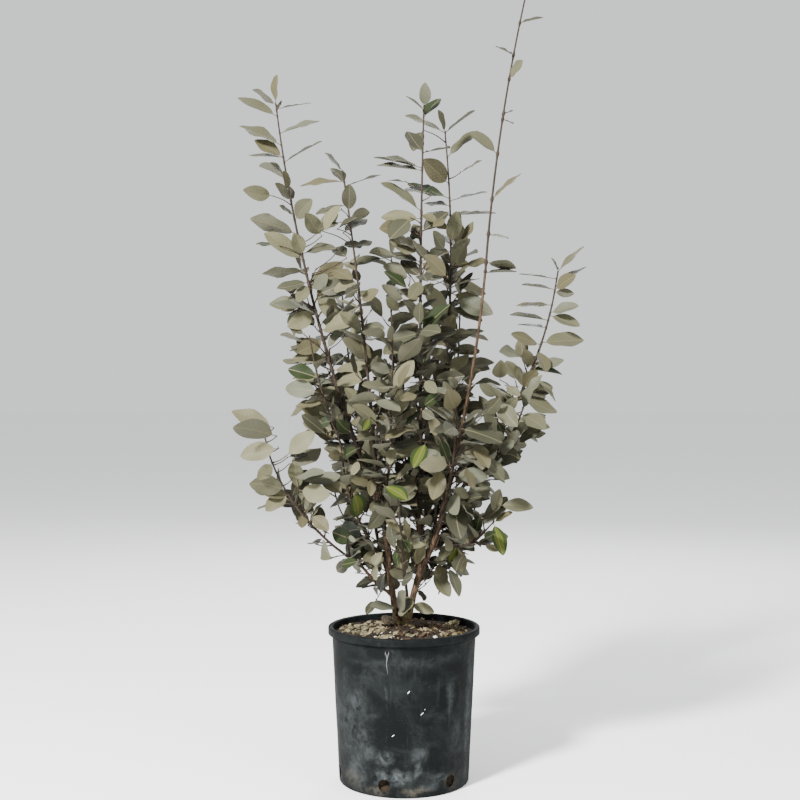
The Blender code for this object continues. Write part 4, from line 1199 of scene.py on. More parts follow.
def make_flecks():
    """Small scabs of lime on the wall, each a flat pebble turned to lie along a scratch."""
    shape = Shape()
    rng = random.Random(5)
    for angle, height, lean, scale in LIME_FLECKS:
        turn = Matrix.Rotation(radians(angle), 4, "Z") @ Matrix.Rotation(radians(lean), 4, "Y")
        place = Matrix.Translation(on_wall(angle, height)) @ turn
        size = [part * scale * rng.uniform(*FLECK_SPREAD) for part in FLECK_SIZE]
        shape.add(*pebble(size, place, FLECK_ROUGH, rng))
    finish, tree, shader = new_finish("lime", 0.9)
    spots = noise_at(tree, place_of(tree), 900, 3)
    tone = mixed(tree, spots, *(paint(*tone) for tone in FLECK_TONES))
    tree.links.new(tone, shader.inputs["Base Color"])
    bump(tree, shader, [(spots, 0.0002)])
    shape.piece("lime_flecks", [finish], "pot")


def unit_ball(level):
    """Points and faces of a small ball of triangles."""
    shape = bmesh.new()
    bmesh.ops.create_icosphere(shape, subdivisions=level, radius=1)
    points = [vertex.co.copy() for vertex in shape.verts]
    faces = [tuple(vertex.index for vertex in face.verts) for face in shape.faces]
    shape.free()
    return points, faces


BALLS = {level: unit_ball(level) for level in (1, 2)}
NOISE_SPAN = 90  # how far apart two bits may lie in the noise
GRAIN_SCALE = 1.7
GRAIN_DEPTH = 1.6


def pebble(size, place, rough, rng, level=2):
    """A broken bit: a ball pulled to size, with a rough and slightly flat-sided surface."""
    ball, faces = BALLS[level]
    shift = Vector([rng.uniform(0, NOISE_SPAN) for _ in range(3)])
    points = []
    for spot in ball:
        grain = 1 + rough * noise.noise(spot * GRAIN_SCALE + shift) * GRAIN_DEPTH
        point = Vector([s * part * grain for s, part in zip(spot, size)])
        points.append(place @ point)
    return points, faces


def mound_height(radius):
    """The soil's height at a distance from the pot's axis, without its lumps."""
    edge_height = POT_HEIGHT - SOIL_EDGE_DROP
    edge = BODY_TOP_RADIUS - WALL - SOIL_WALL_GAP
    share = min(1, max(0, (radius - MOUND_FLAT_RADIUS) / (edge - MOUND_FLAT_RADIUS)))
    return edge_height + (SOIL_MOUND_HEIGHT - edge_height) * (1 - share) ** MOUND_HOLLOW


# The soil's lumps: how many for each metre, and their share of the relief
COARSE_LUMPS = (58, 0.60)
MIDDLE_LUMPS = (150, 0.55)
FINE_LUMPS = (420, 0.50)
LUMP_DROP = 0.1
STEM_LUMPS = 0.8  # how much of the relief is left at the stems
SIDE_GRAIN = 160  # lumps for each metre of the soil's side
SIDE_GIVE = 0.010


def lump_at(x, y):
    """The lumps of the soil at a place, from about -1 to 1, and only upwards at the stems."""
    spot = Vector((x, y, 0))
    coarse = noise.noise(spot * COARSE_LUMPS[0]) * COARSE_LUMPS[1]
    middle = noise.noise(spot * MIDDLE_LUMPS[0] + Vector((5, 0, 0))) * MIDDLE_LUMPS[1]
    fine = abs(noise.noise(spot * FINE_LUMPS[0] + Vector((0, 9, 0)))) * FINE_LUMPS[1]
    lump = coarse + middle + fine - LUMP_DROP
    near = exp(-((spot.length / MOUND_FLAT_RADIUS) ** 2))
    return lump * (1 - near) + abs(lump) * near * STEM_LUMPS


def soil_height(x, y, settings):
    return mound_height(Vector((x, y)).length) + lump_at(x, y) * settings.lump_height


def soil_finish(settings):
    """Moist bark and peat: dark, crumbly, drier and browner in spots."""
    finish, tree, shader = new_finish("potting soil", 0.95, Specular_IOR_Level=0.15)
    place = place_of(tree)
    patches = noise_at(tree, place, 60, 5, 0.6)
    crumbs = cells_at(tree, place, 520)
    grains = noise_at(tree, place, 900, 3, 0.7)
    base = mixed(tree, step_over(tree, patches, 0.42, 0.66), settings.soil, settings.dry_soil)
    base = mixed(tree, step_over(tree, crumbs, 0.2, 0.75, 0.0, 0.7), base, settings.soil)
    rusty = step_over(tree, noise_at(tree, place, 34, 3), 0.54, 0.70, 0.0, 0.4)
    base = mixed(tree, rusty, base, settings.bark_bits)
    base = mixed(tree, step_over(tree, grains, 0.60, 0.72, 0.0, 0.55), base, settings.chips)
    tree.links.new(base, shader.inputs["Base Color"])
    bump(tree, shader, [(crumbs, 0.0012), (grains, 0.0006)])
    return finish


def hole_distance(x, y, z):
    """How far a place on the soil's side is from the nearest drain hole's middle."""
    part = tau / HOLE_COUNT
    angle = (atan2(x, -y) - FIRST_HOLE_ANGLE + part / 2) % part - part / 2
    return hypot(angle * hypot(x, y), z - HOLE_HEIGHT)


def make_soil(settings):
    """The soil that fills the pot, lumpy on top and pressed against the wall."""
    floor = BASE_THICKNESS + SEAT_GAP
    edge_height = POT_HEIGHT - SOIL_EDGE_DROP
    inset = WALL + SOIL_WALL_GAP
    edge = wall_radius(edge_height) - inset
    profile = [(0, SOIL_MOUND_HEIGHT)]
    for i in range(1, SOIL_TOP_RINGS + 1):
        radius = edge * i / SOIL_TOP_RINGS
        profile.append((radius, mound_height(radius)))
    for i in range(1, SOIL_SIDE_RINGS + 1):
        height = between((edge_height, floor), i / SOIL_SIDE_RINGS)
        profile.append((wall_radius(height) - inset, height))
    profile.append((0, floor))
    grid, faces = turn_grid(profile, SOIL_SECTORS)
    top_count = 1 + SOIL_TOP_RINGS * SOIL_SECTORS
    points = []
    for number, (x, y, z) in enumerate(grid):
        if number < top_count:
            points.append((x, y, soil_height(x, y, settings)))
            continue
        give = 1 - abs(noise.noise(Vector((x, y, z)) * SIDE_GRAIN)) * SIDE_GIVE
        give -= HOLE_HOLLOW * exp(-((hole_distance(x, y, z) / HOLE_RADIUS) ** 4))
        points.append((x * give, y * give, z))
    make_piece("potting_soil", points, faces, [soil_finish(settings)], ["soil"])


Litter = namedtuple("Litter", "count sizes flat long places rough sink level")

# What lies on the soil. A place is x, y, its spread and its share of the bits.
LITTER = {
    "pale_chips": Litter(
        100, (0.0040, 0.0150), 0.55, 1.40,
        ((-0.080, 0.014, 0.026, 6), (-0.060, -0.040, 0.024, 4), (0.066, -0.040, 0.022, 2),
         (0.085, 0.040, 0.020, 1), (0.0, 0.0, 0.070, 3)),
        0.55, 0.30, 2,
    ),
    "white_grit": Litter(
        20, (0.0026, 0.0052), 0.6, 1.3,
        ((-0.014, -0.064, 0.012, 4), (-0.040, -0.062, 0.010, 3), (0.040, 0.030, 0.006, 1),
         (0.052, -0.064, 0.012, 2), (0.0, 0.0, 0.070, 2)),
        0.45, 0.25, 2,
    ),
    "bark_bits": Litter(
        170, (0.0040, 0.0135), 0.34, 1.9,
        ((0.025, 0.045, 0.030, 4), (0.0, 0.0, 0.075, 5), (0.030, -0.010, 0.030, 3)),
        0.50, 0.30, 2,
    ),
    "soil_crumbs": Litter(
        520, (0.0018, 0.0062), 0.75, 1.2, ((0.0, 0.0, 0.078, 1),), 0.55, 0.30, 1,
    ),
    "moss_crumbs": Litter(
        260, (0.0018, 0.0046), 0.70, 1.2,
        ((0.066, 0.016, 0.018, 3), (0.080, -0.020, 0.018, 3), (0.046, -0.006, 0.014, 1)),
        0.55, 0.35, 1,
    ),
}
LITTER_EDGE = 0.114  # nothing lies further out than this
HAND_PLACED = {
    "pale_chips": (
        (-0.104, 0.026, 0.0143), (-0.094, 0.052, 0.0123), (-0.086, 0.004, 0.0156),
        (-0.074, 0.034, 0.0143), (-0.078, -0.030, 0.0149), (-0.062, 0.058, 0.0123),
        (-0.058, -0.052, 0.0130), (-0.066, -0.012, 0.0137), (-0.098, -0.010, 0.0130),
        (0.088, 0.064, 0.0182), (0.080, -0.022, 0.0123), (0.086, -0.040, 0.0137),
        (0.070, -0.050, 0.0117), (0.002, -0.050, 0.0091),
    ),
    "white_grit": (
        (0.042, 0.026, 0.0070), (-0.048, -0.064, 0.0065), (-0.028, -0.068, 0.0070),
        (-0.018, -0.070, 0.0072), (0.052, -0.068, 0.0075), (-0.036, -0.060, 0.0050),
    ),
}
CLOD = (-0.030, 0.056, 0.0090)
CLOD_SHAPE = (1.1, 1.0, 0.85)
CLOD_SINK = 0.2
CLOD_ROUGH = 0.5
CLOD_COLOUR = (92, 82, 68)
BIT_LEAN = 0.35
BIT_WIDTHS = (0.6, 1.0)
BIT_THICKNESSES = (0.7, 1.3)
DEAD_TWIGS = 34
DEAD_TWIG_REACH = (0.01, 0.10)
DEAD_TWIG_LENGTHS = (0.007, 0.022)
DEAD_TWIG_HEIGHT = 0.002
DEAD_TWIG_SINK = 0.1
DEAD_TWIG_BOW = 0.1
DEAD_TWIG_RADII = (0.0005, 0.0011)
DEAD_TWIG_PROFILE = (0.7, 1, 0.9, 1, 0.6)
DEAD_TWIG_COLOUR = (140, 118, 90)


def place_on_soil(x, y, size, sink, rng, settings):
    """Where a bit lies: turned at random, nearly flat, and sunk a little."""
    height = soil_height(x, y, settings) + size * (0.5 - sink)
    turn = Matrix.Rotation(rng.uniform(0, tau), 4, "Z")
    tips = [Matrix.Rotation(rng.gauss(0, BIT_LEAN), 4, axis) for axis in "XY"]
    return Matrix.Translation((x, y, height)) @ turn @ (tips[0] @ tips[1])


def scatter(kind, litter, settings):
    """One kind of bit, strewn over its places."""
    rng = random.Random(kind)
    shape = Shape()
    spots = [(x, y, size * 0.5) for x, y, size in HAND_PLACED.get(kind, ())]
    shares = [place[3] for place in litter.places]
    while len(spots) < litter.count:
        x, y, spread, _ = rng.choices(litter.places, shares)[0]
        x += rng.gauss(0, spread)
        y += rng.gauss(0, spread)
        size = between(litter.sizes, rng.random() ** 2) * 0.5
        if Vector((x, y)).length < LITTER_EDGE - size:
            spots.append((x, y, size))
    for x, y, size in spots:
        thin = size * litter.flat * rng.uniform(*BIT_THICKNESSES)
        shapes = (size * rng.uniform(1, litter.long), size * rng.uniform(*BIT_WIDTHS), thin)
        place = place_on_soil(x, y, thin, litter.sink, rng, settings)
        shape.add(*pebble(shapes, place, litter.rough, rng, litter.level))
    return shape


def bit_finish(name, colour, spread, scale):
    """Broken wood, bark or grit: its colour varies from bit to bit, and it has a grain."""
    finish, tree, shader = new_finish(name, 0.88, Specular_IOR_Level=0.2)
    place = place_of(tree)
    tones = noise_at(tree, place, scale, 2)
    grain = noise_at(tree, stretched(tree, place, (1, 1, 4)), 700, 4, 0.7)
    dark = [part * (1 - spread) for part in colour]
    light = [min(1, part * (1 + spread)) for part in colour]
    base = mixed(tree, step_over(tree, tones, 0.34, 0.66), dark, light)
    base = mixed(tree, step_over(tree, grain, 0.35, 0.7, 0.45, 0.0), base, dark)
    tree.links.new(base, shader.inputs["Base Color"])
    bump(tree, shader, [(grain, 0.0005)])
    return finish


def make_litter(settings):
    """Chips, grit, bark bits, crumbs, moss, a clod and bits of twig on the soil."""
    finishes = {
        "pale_chips": bit_finish("pale chips", settings.chips, 0.55, 130),
        "white_grit": bit_finish("white grit", settings.grit, 0.12, 130),
        "bark_bits": bit_finish("bark bits", settings.bark_bits, 0.55, 110),
        "soil_crumbs": bit_finish("soil crumbs", settings.soil, 0.55, 150),
        "moss_crumbs": bit_finish("moss", settings.moss, 0.45, 90),
    }
    for kind, litter in LITTER.items():
        shape = scatter(kind, litter, settings)
        shape.piece(kind, [finishes[kind]], "soil", sharp=radians(50))
    rng = random.Random(11)
    clod = Shape()
    x, y, size = CLOD
    place = place_on_soil(x, y, size, CLOD_SINK, rng, settings)
    clod.add(*pebble([size * part for part in CLOD_SHAPE], place, CLOD_ROUGH, rng))
    clod.piece("clod", [bit_finish("clod", paint(*CLOD_COLOUR), 0.4, 300)], "soil")
    bits = Shape()
    for _ in range(DEAD_TWIGS):
        angle = rng.uniform(0, tau)
        reach = rng.uniform(*DEAD_TWIG_REACH)
        length = rng.uniform(*DEAD_TWIG_LENGTHS)
        x, y = reach * cos(angle), reach * sin(angle)
        place = place_on_soil(x, y, DEAD_TWIG_HEIGHT, DEAD_TWIG_SINK, rng, settings)
        bow = rng.uniform(-DEAD_TWIG_BOW, DEAD_TWIG_BOW) * length
        line = []
        for i in range(len(DEAD_TWIG_PROFILE)):
            t = i / (len(DEAD_TWIG_PROFILE) - 1)
            line.append(place @ Vector((length * (t - 0.5), bow * 4 * t * (1 - t), 0)))
        thick = rng.uniform(*DEAD_TWIG_RADII)
        bits.add(*sweep(line, [thick * part for part in DEAD_TWIG_PROFILE], 6))
    finish = bit_finish("dead twigs", paint(*DEAD_TWIG_COLOUR), 0.4, 160)
    bits.piece("twig_bits", [finish], "soil")


def stem_path(foot, tip, bow):
    """A stem stands square on the soil and then leans, with more points in its flare."""
    points = bowed_path(foot, tip, bow, STEM_STEP)
    rise = points[1] - points[0]
    knee = foot + UP * (FLARE_HEIGHT * FLARE_KNEE)
    return [foot, knee, foot + rise * (FLARE_HEIGHT / rise.z)] + points[1:]


def limb_paths():
    """The path of each limb. One that starts at its carrier's tip goes on from there."""
    paths = {}
    for name, limb in LIMBS.items():
        tip = Vector(limb.tip)
        bow = Vector(limb.bow)
        if limb.carrier is None:
            paths[name] = stem_path(STEM_FEET[name], tip, bow)
            continue
        foot, along = at_share(paths[limb.carrier], limb.place)
        paths[name] = bowed_path(foot, tip, bow, LIMB_STEP)
        if limb.place == 1:
            paths[name].insert(1, foot + along * limb.foot_radius)
    return paths


def radius_on(limb, points, share):
    """The limb's radius at a share of its length, with the flare of a stem."""
    radius = between((limb.foot_radius, limb.tip_radius), share)
    if limb.carrier is None:
        height = at_share(points, share)[0].z - points[0].z
        radius *= 1 + FLARE * exp(-height / FLARE_HEIGHT)
    return radius


BARK_STEP = 0.0022
BARK_SIDES = 22
STEM_SINK = 0.004  # how deep a stem's foot stands in the soil
COLLAR = 0.24  # how much thicker a bough is where it leaves its carrier
COLLAR_LENGTH = 0.006
BUD_SCAR_GAP = 0.021
BUD_SCAR = 0.16
BUD_SCAR_LENGTH = 0.0022
BUD_SCAR_STARTS = (0.3, 1)
BUD_SCAR_SIZES = (0.5, 1.2)
BUD_SCAR_SPREAD = (0.7, 1.3)
BUD_SCAR_REACH = 2.5
BUD_SCAR_BACK = 0.35  # how high a scar stands on the far side of the limb
# Ridges and cracks: how often they follow round the limb and along it, and their share
RIDGES = (2.4, 22, 0.9)
CRACKS = (5.0, 120, 0.45)
BARK_NOISE_SPAN = 50
STEM_MOSS = (92, 86, 50)
STEM_MOSS_HEIGHT = 0.09


def bark_relief(path, sides, ridge, seed):
    """How far each point of the bark stands out: ridges, furrows and old bud scars."""
    rng = random.Random(seed)
    length = path_length(path)
    scars = []
    place = rng.uniform(*BUD_SCAR_STARTS) * BUD_SCAR_GAP
    while place < length:
        scars.append((place, rng.uniform(0, tau), rng.uniform(*BUD_SCAR_SIZES)))
        place += BUD_SCAR_GAP * rng.uniform(*BUD_SCAR_SPREAD)
    shift = rng.uniform(0, BARK_NOISE_SPAN)
    relief = []
    travelled = 0
    for i, point in enumerate(path):
        if i:
            travelled += (point - path[i - 1]).length
        ring = []
        for j in range(sides):
            angle = j * tau / sides
            round_it = Vector((cos(angle), sin(angle), 0))
            along = Vector((0, 0, travelled))
            spot = round_it * RIDGES[0] + along * RIDGES[1] + Vector((shift, 0, 0))
            ridges = noise.noise(spot) * RIDGES[2]
            spot = round_it * CRACKS[0] + along * CRACKS[1] + Vector((0, shift, 0))
            size = 1 + ridge * (ridges + noise.noise(spot) * CRACKS[2])
            for scar, side, swell in scars:
                away = (travelled - scar) / BUD_SCAR_LENGTH
                if abs(away) < BUD_SCAR_REACH:
                    facing = between((BUD_SCAR_BACK, 1), max(0, cos(angle - side)) ** 2)
                    size += BUD_SCAR * swell * facing * exp(-away * away)
            ring.append(size)
        relief.append(ring)
    return np.array(relief)


def bark_finish(name, light, dark, moss=0.0):
    """Thin bark: streaked along the limb, with pale pores and darker furrows."""
    finish, tree, shader = new_finish(name, 0.82, Specular_IOR_Level=0.2)
    place = place_of(tree)
    streaks = noise_at(tree, stretched(tree, place, (420, 420, 60)), 1, 5, 0.62, 0.5)
    patches = noise_at(tree, place, 60, 3)
    pores = cells_at(tree, stretched(tree, place, (1, 1, 0.7)), 480)
    base = mixed(tree, step_over(tree, streaks, 0.36, 0.64), dark, light)
    base = mixed(tree, step_over(tree, patches, 0.45, 0.70, 0.0, 0.45), base, dark)
    pale = [min(1, part * 1.6) for part in light]
    base = mixed(tree, step_over(tree, pores, 0.10, 0.26, 0.6, 0.0), base, pale)
    if moss:
        height = add_node(tree, "ShaderNodeSeparateXYZ", {0: place}).outputs["Z"]
        top = SOIL_MOUND_HEIGHT + STEM_MOSS_HEIGHT
        low = step_over(tree, height, SOIL_MOUND_HEIGHT, top, moss, 0.0)
        green = maths(tree, "MULTIPLY", low, step_over(tree, patches, 0.42, 0.58))
        base = mixed(tree, green, base, paint(*STEM_MOSS))
    tree.links.new(base, shader.inputs["Base Color"])
    tree.links.new(step_over(tree, streaks, 0.3, 0.7, 0.90, 0.66), shader.inputs["Roughness"])
    bump(tree, shader, [(streaks, 0.0007), (pores, 0.00025)])
    return finish


def make_limbs(settings):
    """Each stem and bough with the relief of its bark, in the place of its solid."""
    bark = bark_finish("bark", settings.bark, settings.furrow, moss=0.6)
    tan = bark_finish("whip bark", settings.whip, settings.furrow)
    paths = limb_paths()
    for number, (name, limb) in enumerate(LIMBS.items()):
        points = list(paths[name])
        if limb.carrier is None:
            points.insert(0, points[0] - UP * STEM_SINK)
        path = smooth_path(points, BARK_STEP)
        count = len(path) - 1
        radii = []
        start = LIMBS[limb.carrier].tip_radius if limb.place == 1 else limb.foot_radius
        travelled = 0
        for i, point in enumerate(path):
            if i:
                travelled += (point - path[i - 1]).length
            radius = radius_on(limb, paths[name], i / count)
            if limb.carrier:
                joined = exp(-((travelled / COLLAR_LENGTH) ** 2))
                radius = between((radius, max(radius, start * (1 + COLLAR / 4))), joined)
                radius *= 1 + (COLLAR if limb.place < 1 else COLLAR / 3) * joined
            radii.append(radius)
        relief = bark_relief(path, BARK_SIDES, settings.ridge, number)
        cover, faces = sweep(path, radii, BARK_SIDES, relief)
        finish = tan if name == "whip" else bark
        make_piece(name + "_bark", cover, faces, [finish], [name], sharp=radians(70))


def tree_of(points, faces):
    return BVHTree.FromPolygons([tuple(p) for p in points], faces)


def tree_of_node(name):
    mesh = frame["nodes"][name].data
    return tree_of([v.co for v in mesh.vertices], [tuple(p.vertices) for p in mesh.polygons])


def make_leader(mass, paths):
    """A mass's main stem, from inside the limb that carries it to its tip."""
    carrier = LIMBS[mass.carrier]
    limb_path = paths[mass.carrier]
    spot, along = at_share(limb_path, mass.place)
    tip = Vector(mass.tip)
    bow = Vector(mass.bow)
    if mass.place == 1:
        points = bowed_path(spot, tip, bow, LIMB_STEP)
        points.insert(1, spot + along * carrier.tip_radius)
        return Shoot(points, carrier.tip_radius, LEADER_TIP_RADIUS, 0)
    limb_radius = radius_on(carrier, limb_path, mass.place)
    foot_radius = min(LEADER_FOOT_RADIUS, limb_radius * LEADER_FOOT_SHARE)
    points = bowed_path(spot, tip, bow, LIMB_STEP)
    return Shoot(points, foot_radius, LEADER_TIP_RADIUS, 0)


def lean_out(along, azimuth, angle, lift):
    """The way out from a limb at an azimuth, and the way that leans from it by an angle."""
    across, square = sides_of(along)
    outward = across * cos(azimuth) + square * sin(azimuth)
    return outward, along * cos(angle) + outward * sin(angle) + UP * lift


def grow_shoots(mass, leader, seed, count, sizes, zone, until):
    """The leader's side shoots below its open top: spiralled round it, rising and turning up."""
    rng = random.Random(seed)
    turn = rng.uniform(0, tau)
    shoots = []
    for k in range(count):
        share = between(zone, (k + rng.uniform(*SHOOT_JITTER)) / count)
        angle = radians(rng.uniform(*SHOOT_ANGLES))
        size = rng.uniform(*sizes)
        spot, along = at_share(leader.points, share)
        reach = between((mass.reach, mass.tip_reach), share)
        reach -= LEAF_OVERHANG * bpy.context.scene.shrub.foliage.leaf_length
        length = max(SHOOT_LEAST, reach * size / sin(angle))
        outward, rise = lean_out(along, turn + k * GOLDEN_ANGLE, angle, SHOOT_LIFT)
        bow = (outward - UP * SHOOT_SAG) * length * SHOOT_BOW
        points = bowed_path(spot, spot + rise * length, bow, SHOOT_STEP)
        if share <= until:
            shoots.append(Shoot(points, SHOOT_FOOT_RADIUS, SHOOT_TIP_RADIUS, 1))
    return shoots


def grow_twigs(shoot, rng):
    """Short twigs on a side shoot, if it is long enough to bear them."""
    length = path_length(shoot.points)
    if length < TWIG_LEAST_SHOOT:
        return []
    twigs = []
    turn = rng.uniform(0, tau)
    for k in range(TWIGS_EACH):
        spot, along = at_share(shoot.points, rng.uniform(*TWIG_PLACES))
        angle = radians(rng.uniform(*TWIG_ANGLES))
        azimuth = turn + k * GOLDEN_ANGLE + rng.uniform(-TWIG_TURN, TWIG_TURN)
        reach = rng.uniform(*TWIG_LENGTHS)
        outward, rise = lean_out(along, azimuth, angle, SHOOT_LIFT)
        points = bowed_path(spot, spot + rise * reach, outward * reach * SHOOT_BOW, SHOOT_STEP)
        twigs.append(Shoot(points, TWIG_FOOT_RADIUS, TWIG_TIP_RADIUS, 2))
    return twigs


def aim_leaf(point, along, azimuth, angle, roll, lift=0.0, sunny=1.0):
    """The direction and the upper side of a leaf that leaves its shoot at an angle."""
    direction = lean_out(along, azimuth, angle, lift)[1].normalized()
    lit = max(-1, min(1, (SUN_DEPTH - point.y) / SUN_DEPTH))
    face = along * FACE_ALONG + UP * FACE_UP + SUN_SIDE * (lit * sunny)
    face = (face - direction * face.dot(direction)).normalized()
    return direction, face * cos(roll) + direction.cross(face) * sin(roll)


def grow_spurs(name, path):
    """Short side shoots of a stem or bough, in a spiral up its length."""
    rng = random.Random(name)
    count = int(path_length(path) / SPUR_GAP)
    turn = rng.uniform(0, tau)
    spurs = []
    for k in range(count):
        spot, along = at_share(path, (k + rng.random()) / count)
        angle = radians(rng.uniform(*SPUR_ANGLES))
        length = rng.uniform(*SPUR_LENGTHS)
        outward, rise = lean_out(along, turn + k * GOLDEN_ANGLE, angle, SHOOT_LIFT)
        if spot.z > SOIL_MOUND_HEIGHT + SPUR_BARE_STEM:
            points = bowed_path(spot, spot + rise * length, outward * length * SHOOT_BOW, SHOOT_STEP)
            spurs.append(Shoot(points, TWIG_FOOT_RADIUS, TWIG_TIP_RADIUS, 2))
    return spurs


def in_photo(place):
    """Where a place shows in the photo, in pixels from its left and upper edges."""
    scale = PHOTO_FOCUS / (place[1] - CAMERA_PLACE[1])
    across = PHOTO_MIDDLE + (place[0] - CAMERA_PLACE[0]) * scale
    return across, PHOTO_MIDDLE - (place[2] - CAMERA_PLACE[2]) * scale


def from_photo(across, down, depth):
    """The place that shows at a spot of the photo, this far behind the pot's axis."""
    scale = (depth - CAMERA_PLACE[1]) / PHOTO_FOCUS
    x = CAMERA_PLACE[0] + (across - PHOTO_MIDDLE) * scale
    return Vector((x, depth, CAMERA_PLACE[2] - (down - PHOTO_MIDDLE) * scale))


def place_mark(mark, spots):
    """Where a leaf marked in the photo starts and ends, and how far its face is turned up.

    The spots are those of its mass's leader. A leaf that shows shorter than a usual one points
    towards the viewer or, where it is dark or shows its underside, away.
    """
    across, down, tip_across, tip_down, width, tint = mark

    def aside(spot):
        x, y = in_photo(spot)
        return hypot(x - across, y - down)

    base = min(spots, key=aside)
    if aside(base) > HOLD_REACH:
        scale = (base.y - CAMERA_PLACE[1]) / PHOTO_FOCUS
        before = min(BEFORE_LEADER * aside(base) * scale, BEFORE_MOST)
        base = from_photo(across, down, base.y - before)
    scale = (base.y - CAMERA_PLACE[1]) / PHOTO_FOCUS
    x, y = in_photo(base)
    shown = hypot(tip_across - x, tip_down - y) * scale
    wide = abs(width) * scale
    length = max(shown, min(SHOWN_LENGTH, FORESHORTENED * shown), wide / WIDTH_MOST)
    deeper = sqrt(max(0, length ** 2 - shown ** 2))
    if width > 0 and tint not in AWAY_TINTS:
        deeper = -deeper
    tip = from_photo(tip_across, tip_down, base.y + deeper)
    turn = acos(min(1, wide / (FULL_WIDTH * (tip - base).length)))
    return base, tip, turn if width > 0 else pi - turn


def face_of(direction, turn):
    """The upper side of a leaf whose face is turned this far up from the viewer."""
    front = (VIEWER - direction * VIEWER.dot(direction)).normalized()
    above = direction.cross(front)
    if above.z < 0:
        above = -above
    return front * cos(turn) + above * sin(turn)


def grow_leaves(shoot, habit, settings, rng, until=1.0):
    """Leaves in a spiral up a shoot, and one at its tip. Each comes as a few choices.

    A leader's open top carries none of them.
    """
    length = path_length(shoot.points)
    place = habit.bare_shoot if shoot.rank else habit.bare_leader
    usual = settings.leaf_length * habit.share * (TWIG_LEAF_SHARE if shoot.rank == 2 else 1)
    azimuth = rng.uniform(0, tau)
    leaves = []
    while place < min(length - SHOOT_END, length * until):
        share = place / length
        spot, along = at_share(shoot.points, share)
        angle = radians(rng.uniform(*LEAF_ANGLES) - LEAF_ANGLE_FALL * share)
        size = usual * rng.uniform(*LEAF_SIZES)
        if shoot.rank == 0:
            size *= 1 - LEADER_LEAF_FALL * share
        roll = rng.gauss(0, LEAF_ROLL)
        sunny = rng.uniform(*SUN_SHARES)
        arch = rng.uniform(*LEAF_ARCHES)
        choices = []
        for k in range(LEAF_TRIES):
            turn = azimuth + k * GOLDEN_ANGLE
            aim = aim_leaf(spot, along, turn, angle, roll, LEAF_LIFTS[shoot.rank], sunny)
            choices.append(Leaf(spot, *aim, size, arch, None, None))
        leaves.append(choices)
        azimuth += GOLDEN_ANGLE + rng.gauss(0, LEAF_TURN_SPREAD)
        gap = habit.gap if shoot.rank else habit.gap * (1 + OPEN_TOP * share * share)
        place += gap * rng.uniform(*LEAF_GAP_SPREAD)
    if until < 1:
        return leaves
    end, along = at_share(shoot.points, 1)
    size = usual * rng.uniform(*TIP_LEAF_SIZES)
    aim = aim_leaf(end, along, azimuth, TIP_LEAF_ANGLE, 0)
    leaves.append([Leaf(end, *aim, size, TIP_LEAF_ARCH, None, None)])
    return leaves


def leaf_corners(leaf, settings):
    """The shape that other leaves and wood stay clear of: rim, tip and keel of a leaf."""
    width = leaf.length * (1 - settings.stalk) * settings.leaf_width
    across = leaf.normal.cross(leaf.along)

    def place(share, side, lift):
        bend = -leaf.arch * share * share * leaf.length
        out = leaf.root + leaf.along * (share * leaf.length)
        return out + across * side + leaf.normal * (bend + lift)

    points = [place(LEAF_NECK, 0, LEAF_CLEARANCE)]
    for share, half in LEAF_CORNERS:
        side = half * width / 2 + LEAF_CLEARANCE
        lift = LEAF_CUP * width * half / 2 + LEAF_CLEARANCE
        points.append(place(share, side, lift))
        points.append(place(share, -side, lift))
    points.append(place(1, 0, LEAF_CLEARANCE))
    points.append(place(KEEL_PLACE, 0, -LEAF_THICKNESS - LEAF_CLEARANCE))
    return points


class Spaces:
    """Which mass owns a point: the one whose leader is nearest for its reach."""

    def __init__(self, leaders):
        spots = []
        weights = []
        owners = []
        for name, leader in leaders.items():
            mass = MASSES[name]
            count = round(path_length(leader.points) / SPACE_STEP)
            for i in range(count + 1):
                share = i / count
                spots.append(at_share(leader.points, share)[0])
                weights.append(between((mass.reach, mass.tip_reach), share))
                owners.append(name)
        self.spots = np.array(spots)
        self.weights = np.array(weights)
        self.own = {name: np.array(owners) == name for name in leaders}

    def holds(self, name, point):
        """True if the point is inside the mass's own space, or any mass's if none is named."""
        reach = np.linalg.norm(self.spots - np.array(point), axis=1) / self.weights
        if name is None:
            return reach.min() < SPACE_REACH
        own = reach[self.own[name]].min()
        other = reach[~self.own[name]].min()
        return own < SPACE_REACH and own + SPACE_MARGIN < other


class Room:
    """All that stands already, to tell whether a shoot or a leaf finds room."""

    def __init__(self, spaces, fixed):
        self.spaces = spaces
        self.wood = list(fixed.items())
        self.middles = np.zeros((0, 3))
        self.leaves = []

    def touches_wood(self, tree, own):
        return any(key not in own and tree.overlap(other) for key, other in self.wood)

    def add_wood(self, key, shoot):
        self.wood.append((key, shoot_tree(shoot)))

    def takes_shoot(self, name, key, parent, shoot):
        """Adds a shoot if it stays in its mass's space and touches only its parent."""
        if not all(self.spaces.holds(name, point) for point in shoot.points[1:]):
            return False
        tree = shoot_tree(shoot)
        if self.touches_wood(tree, (parent,)):
            return False
        self.wood.append((key, tree))
        return True

    def takes_leaf(self, name, key, leaf, settings):
        """Adds a leaf if it stays in its mass's space and touches only its own shoot."""
        corners = leaf_corners(leaf, settings)
        if not all(self.spaces.holds(name, point) for point in corners):
            return False
        tree = tree_of(corners, LEAF_FACES)
        if self.touches_wood(tree, (key,)):
            return False
        middle = np.array(corners[-1])
        near = np.linalg.norm(self.middles - middle, axis=1) < NEAR_LEAVES
        for index in np.nonzero(near)[0]:
            if tree.overlap(self.leaves[index]):
                return False
        self.middles = np.vstack((self.middles, middle))
        self.leaves.append(tree)
        return True


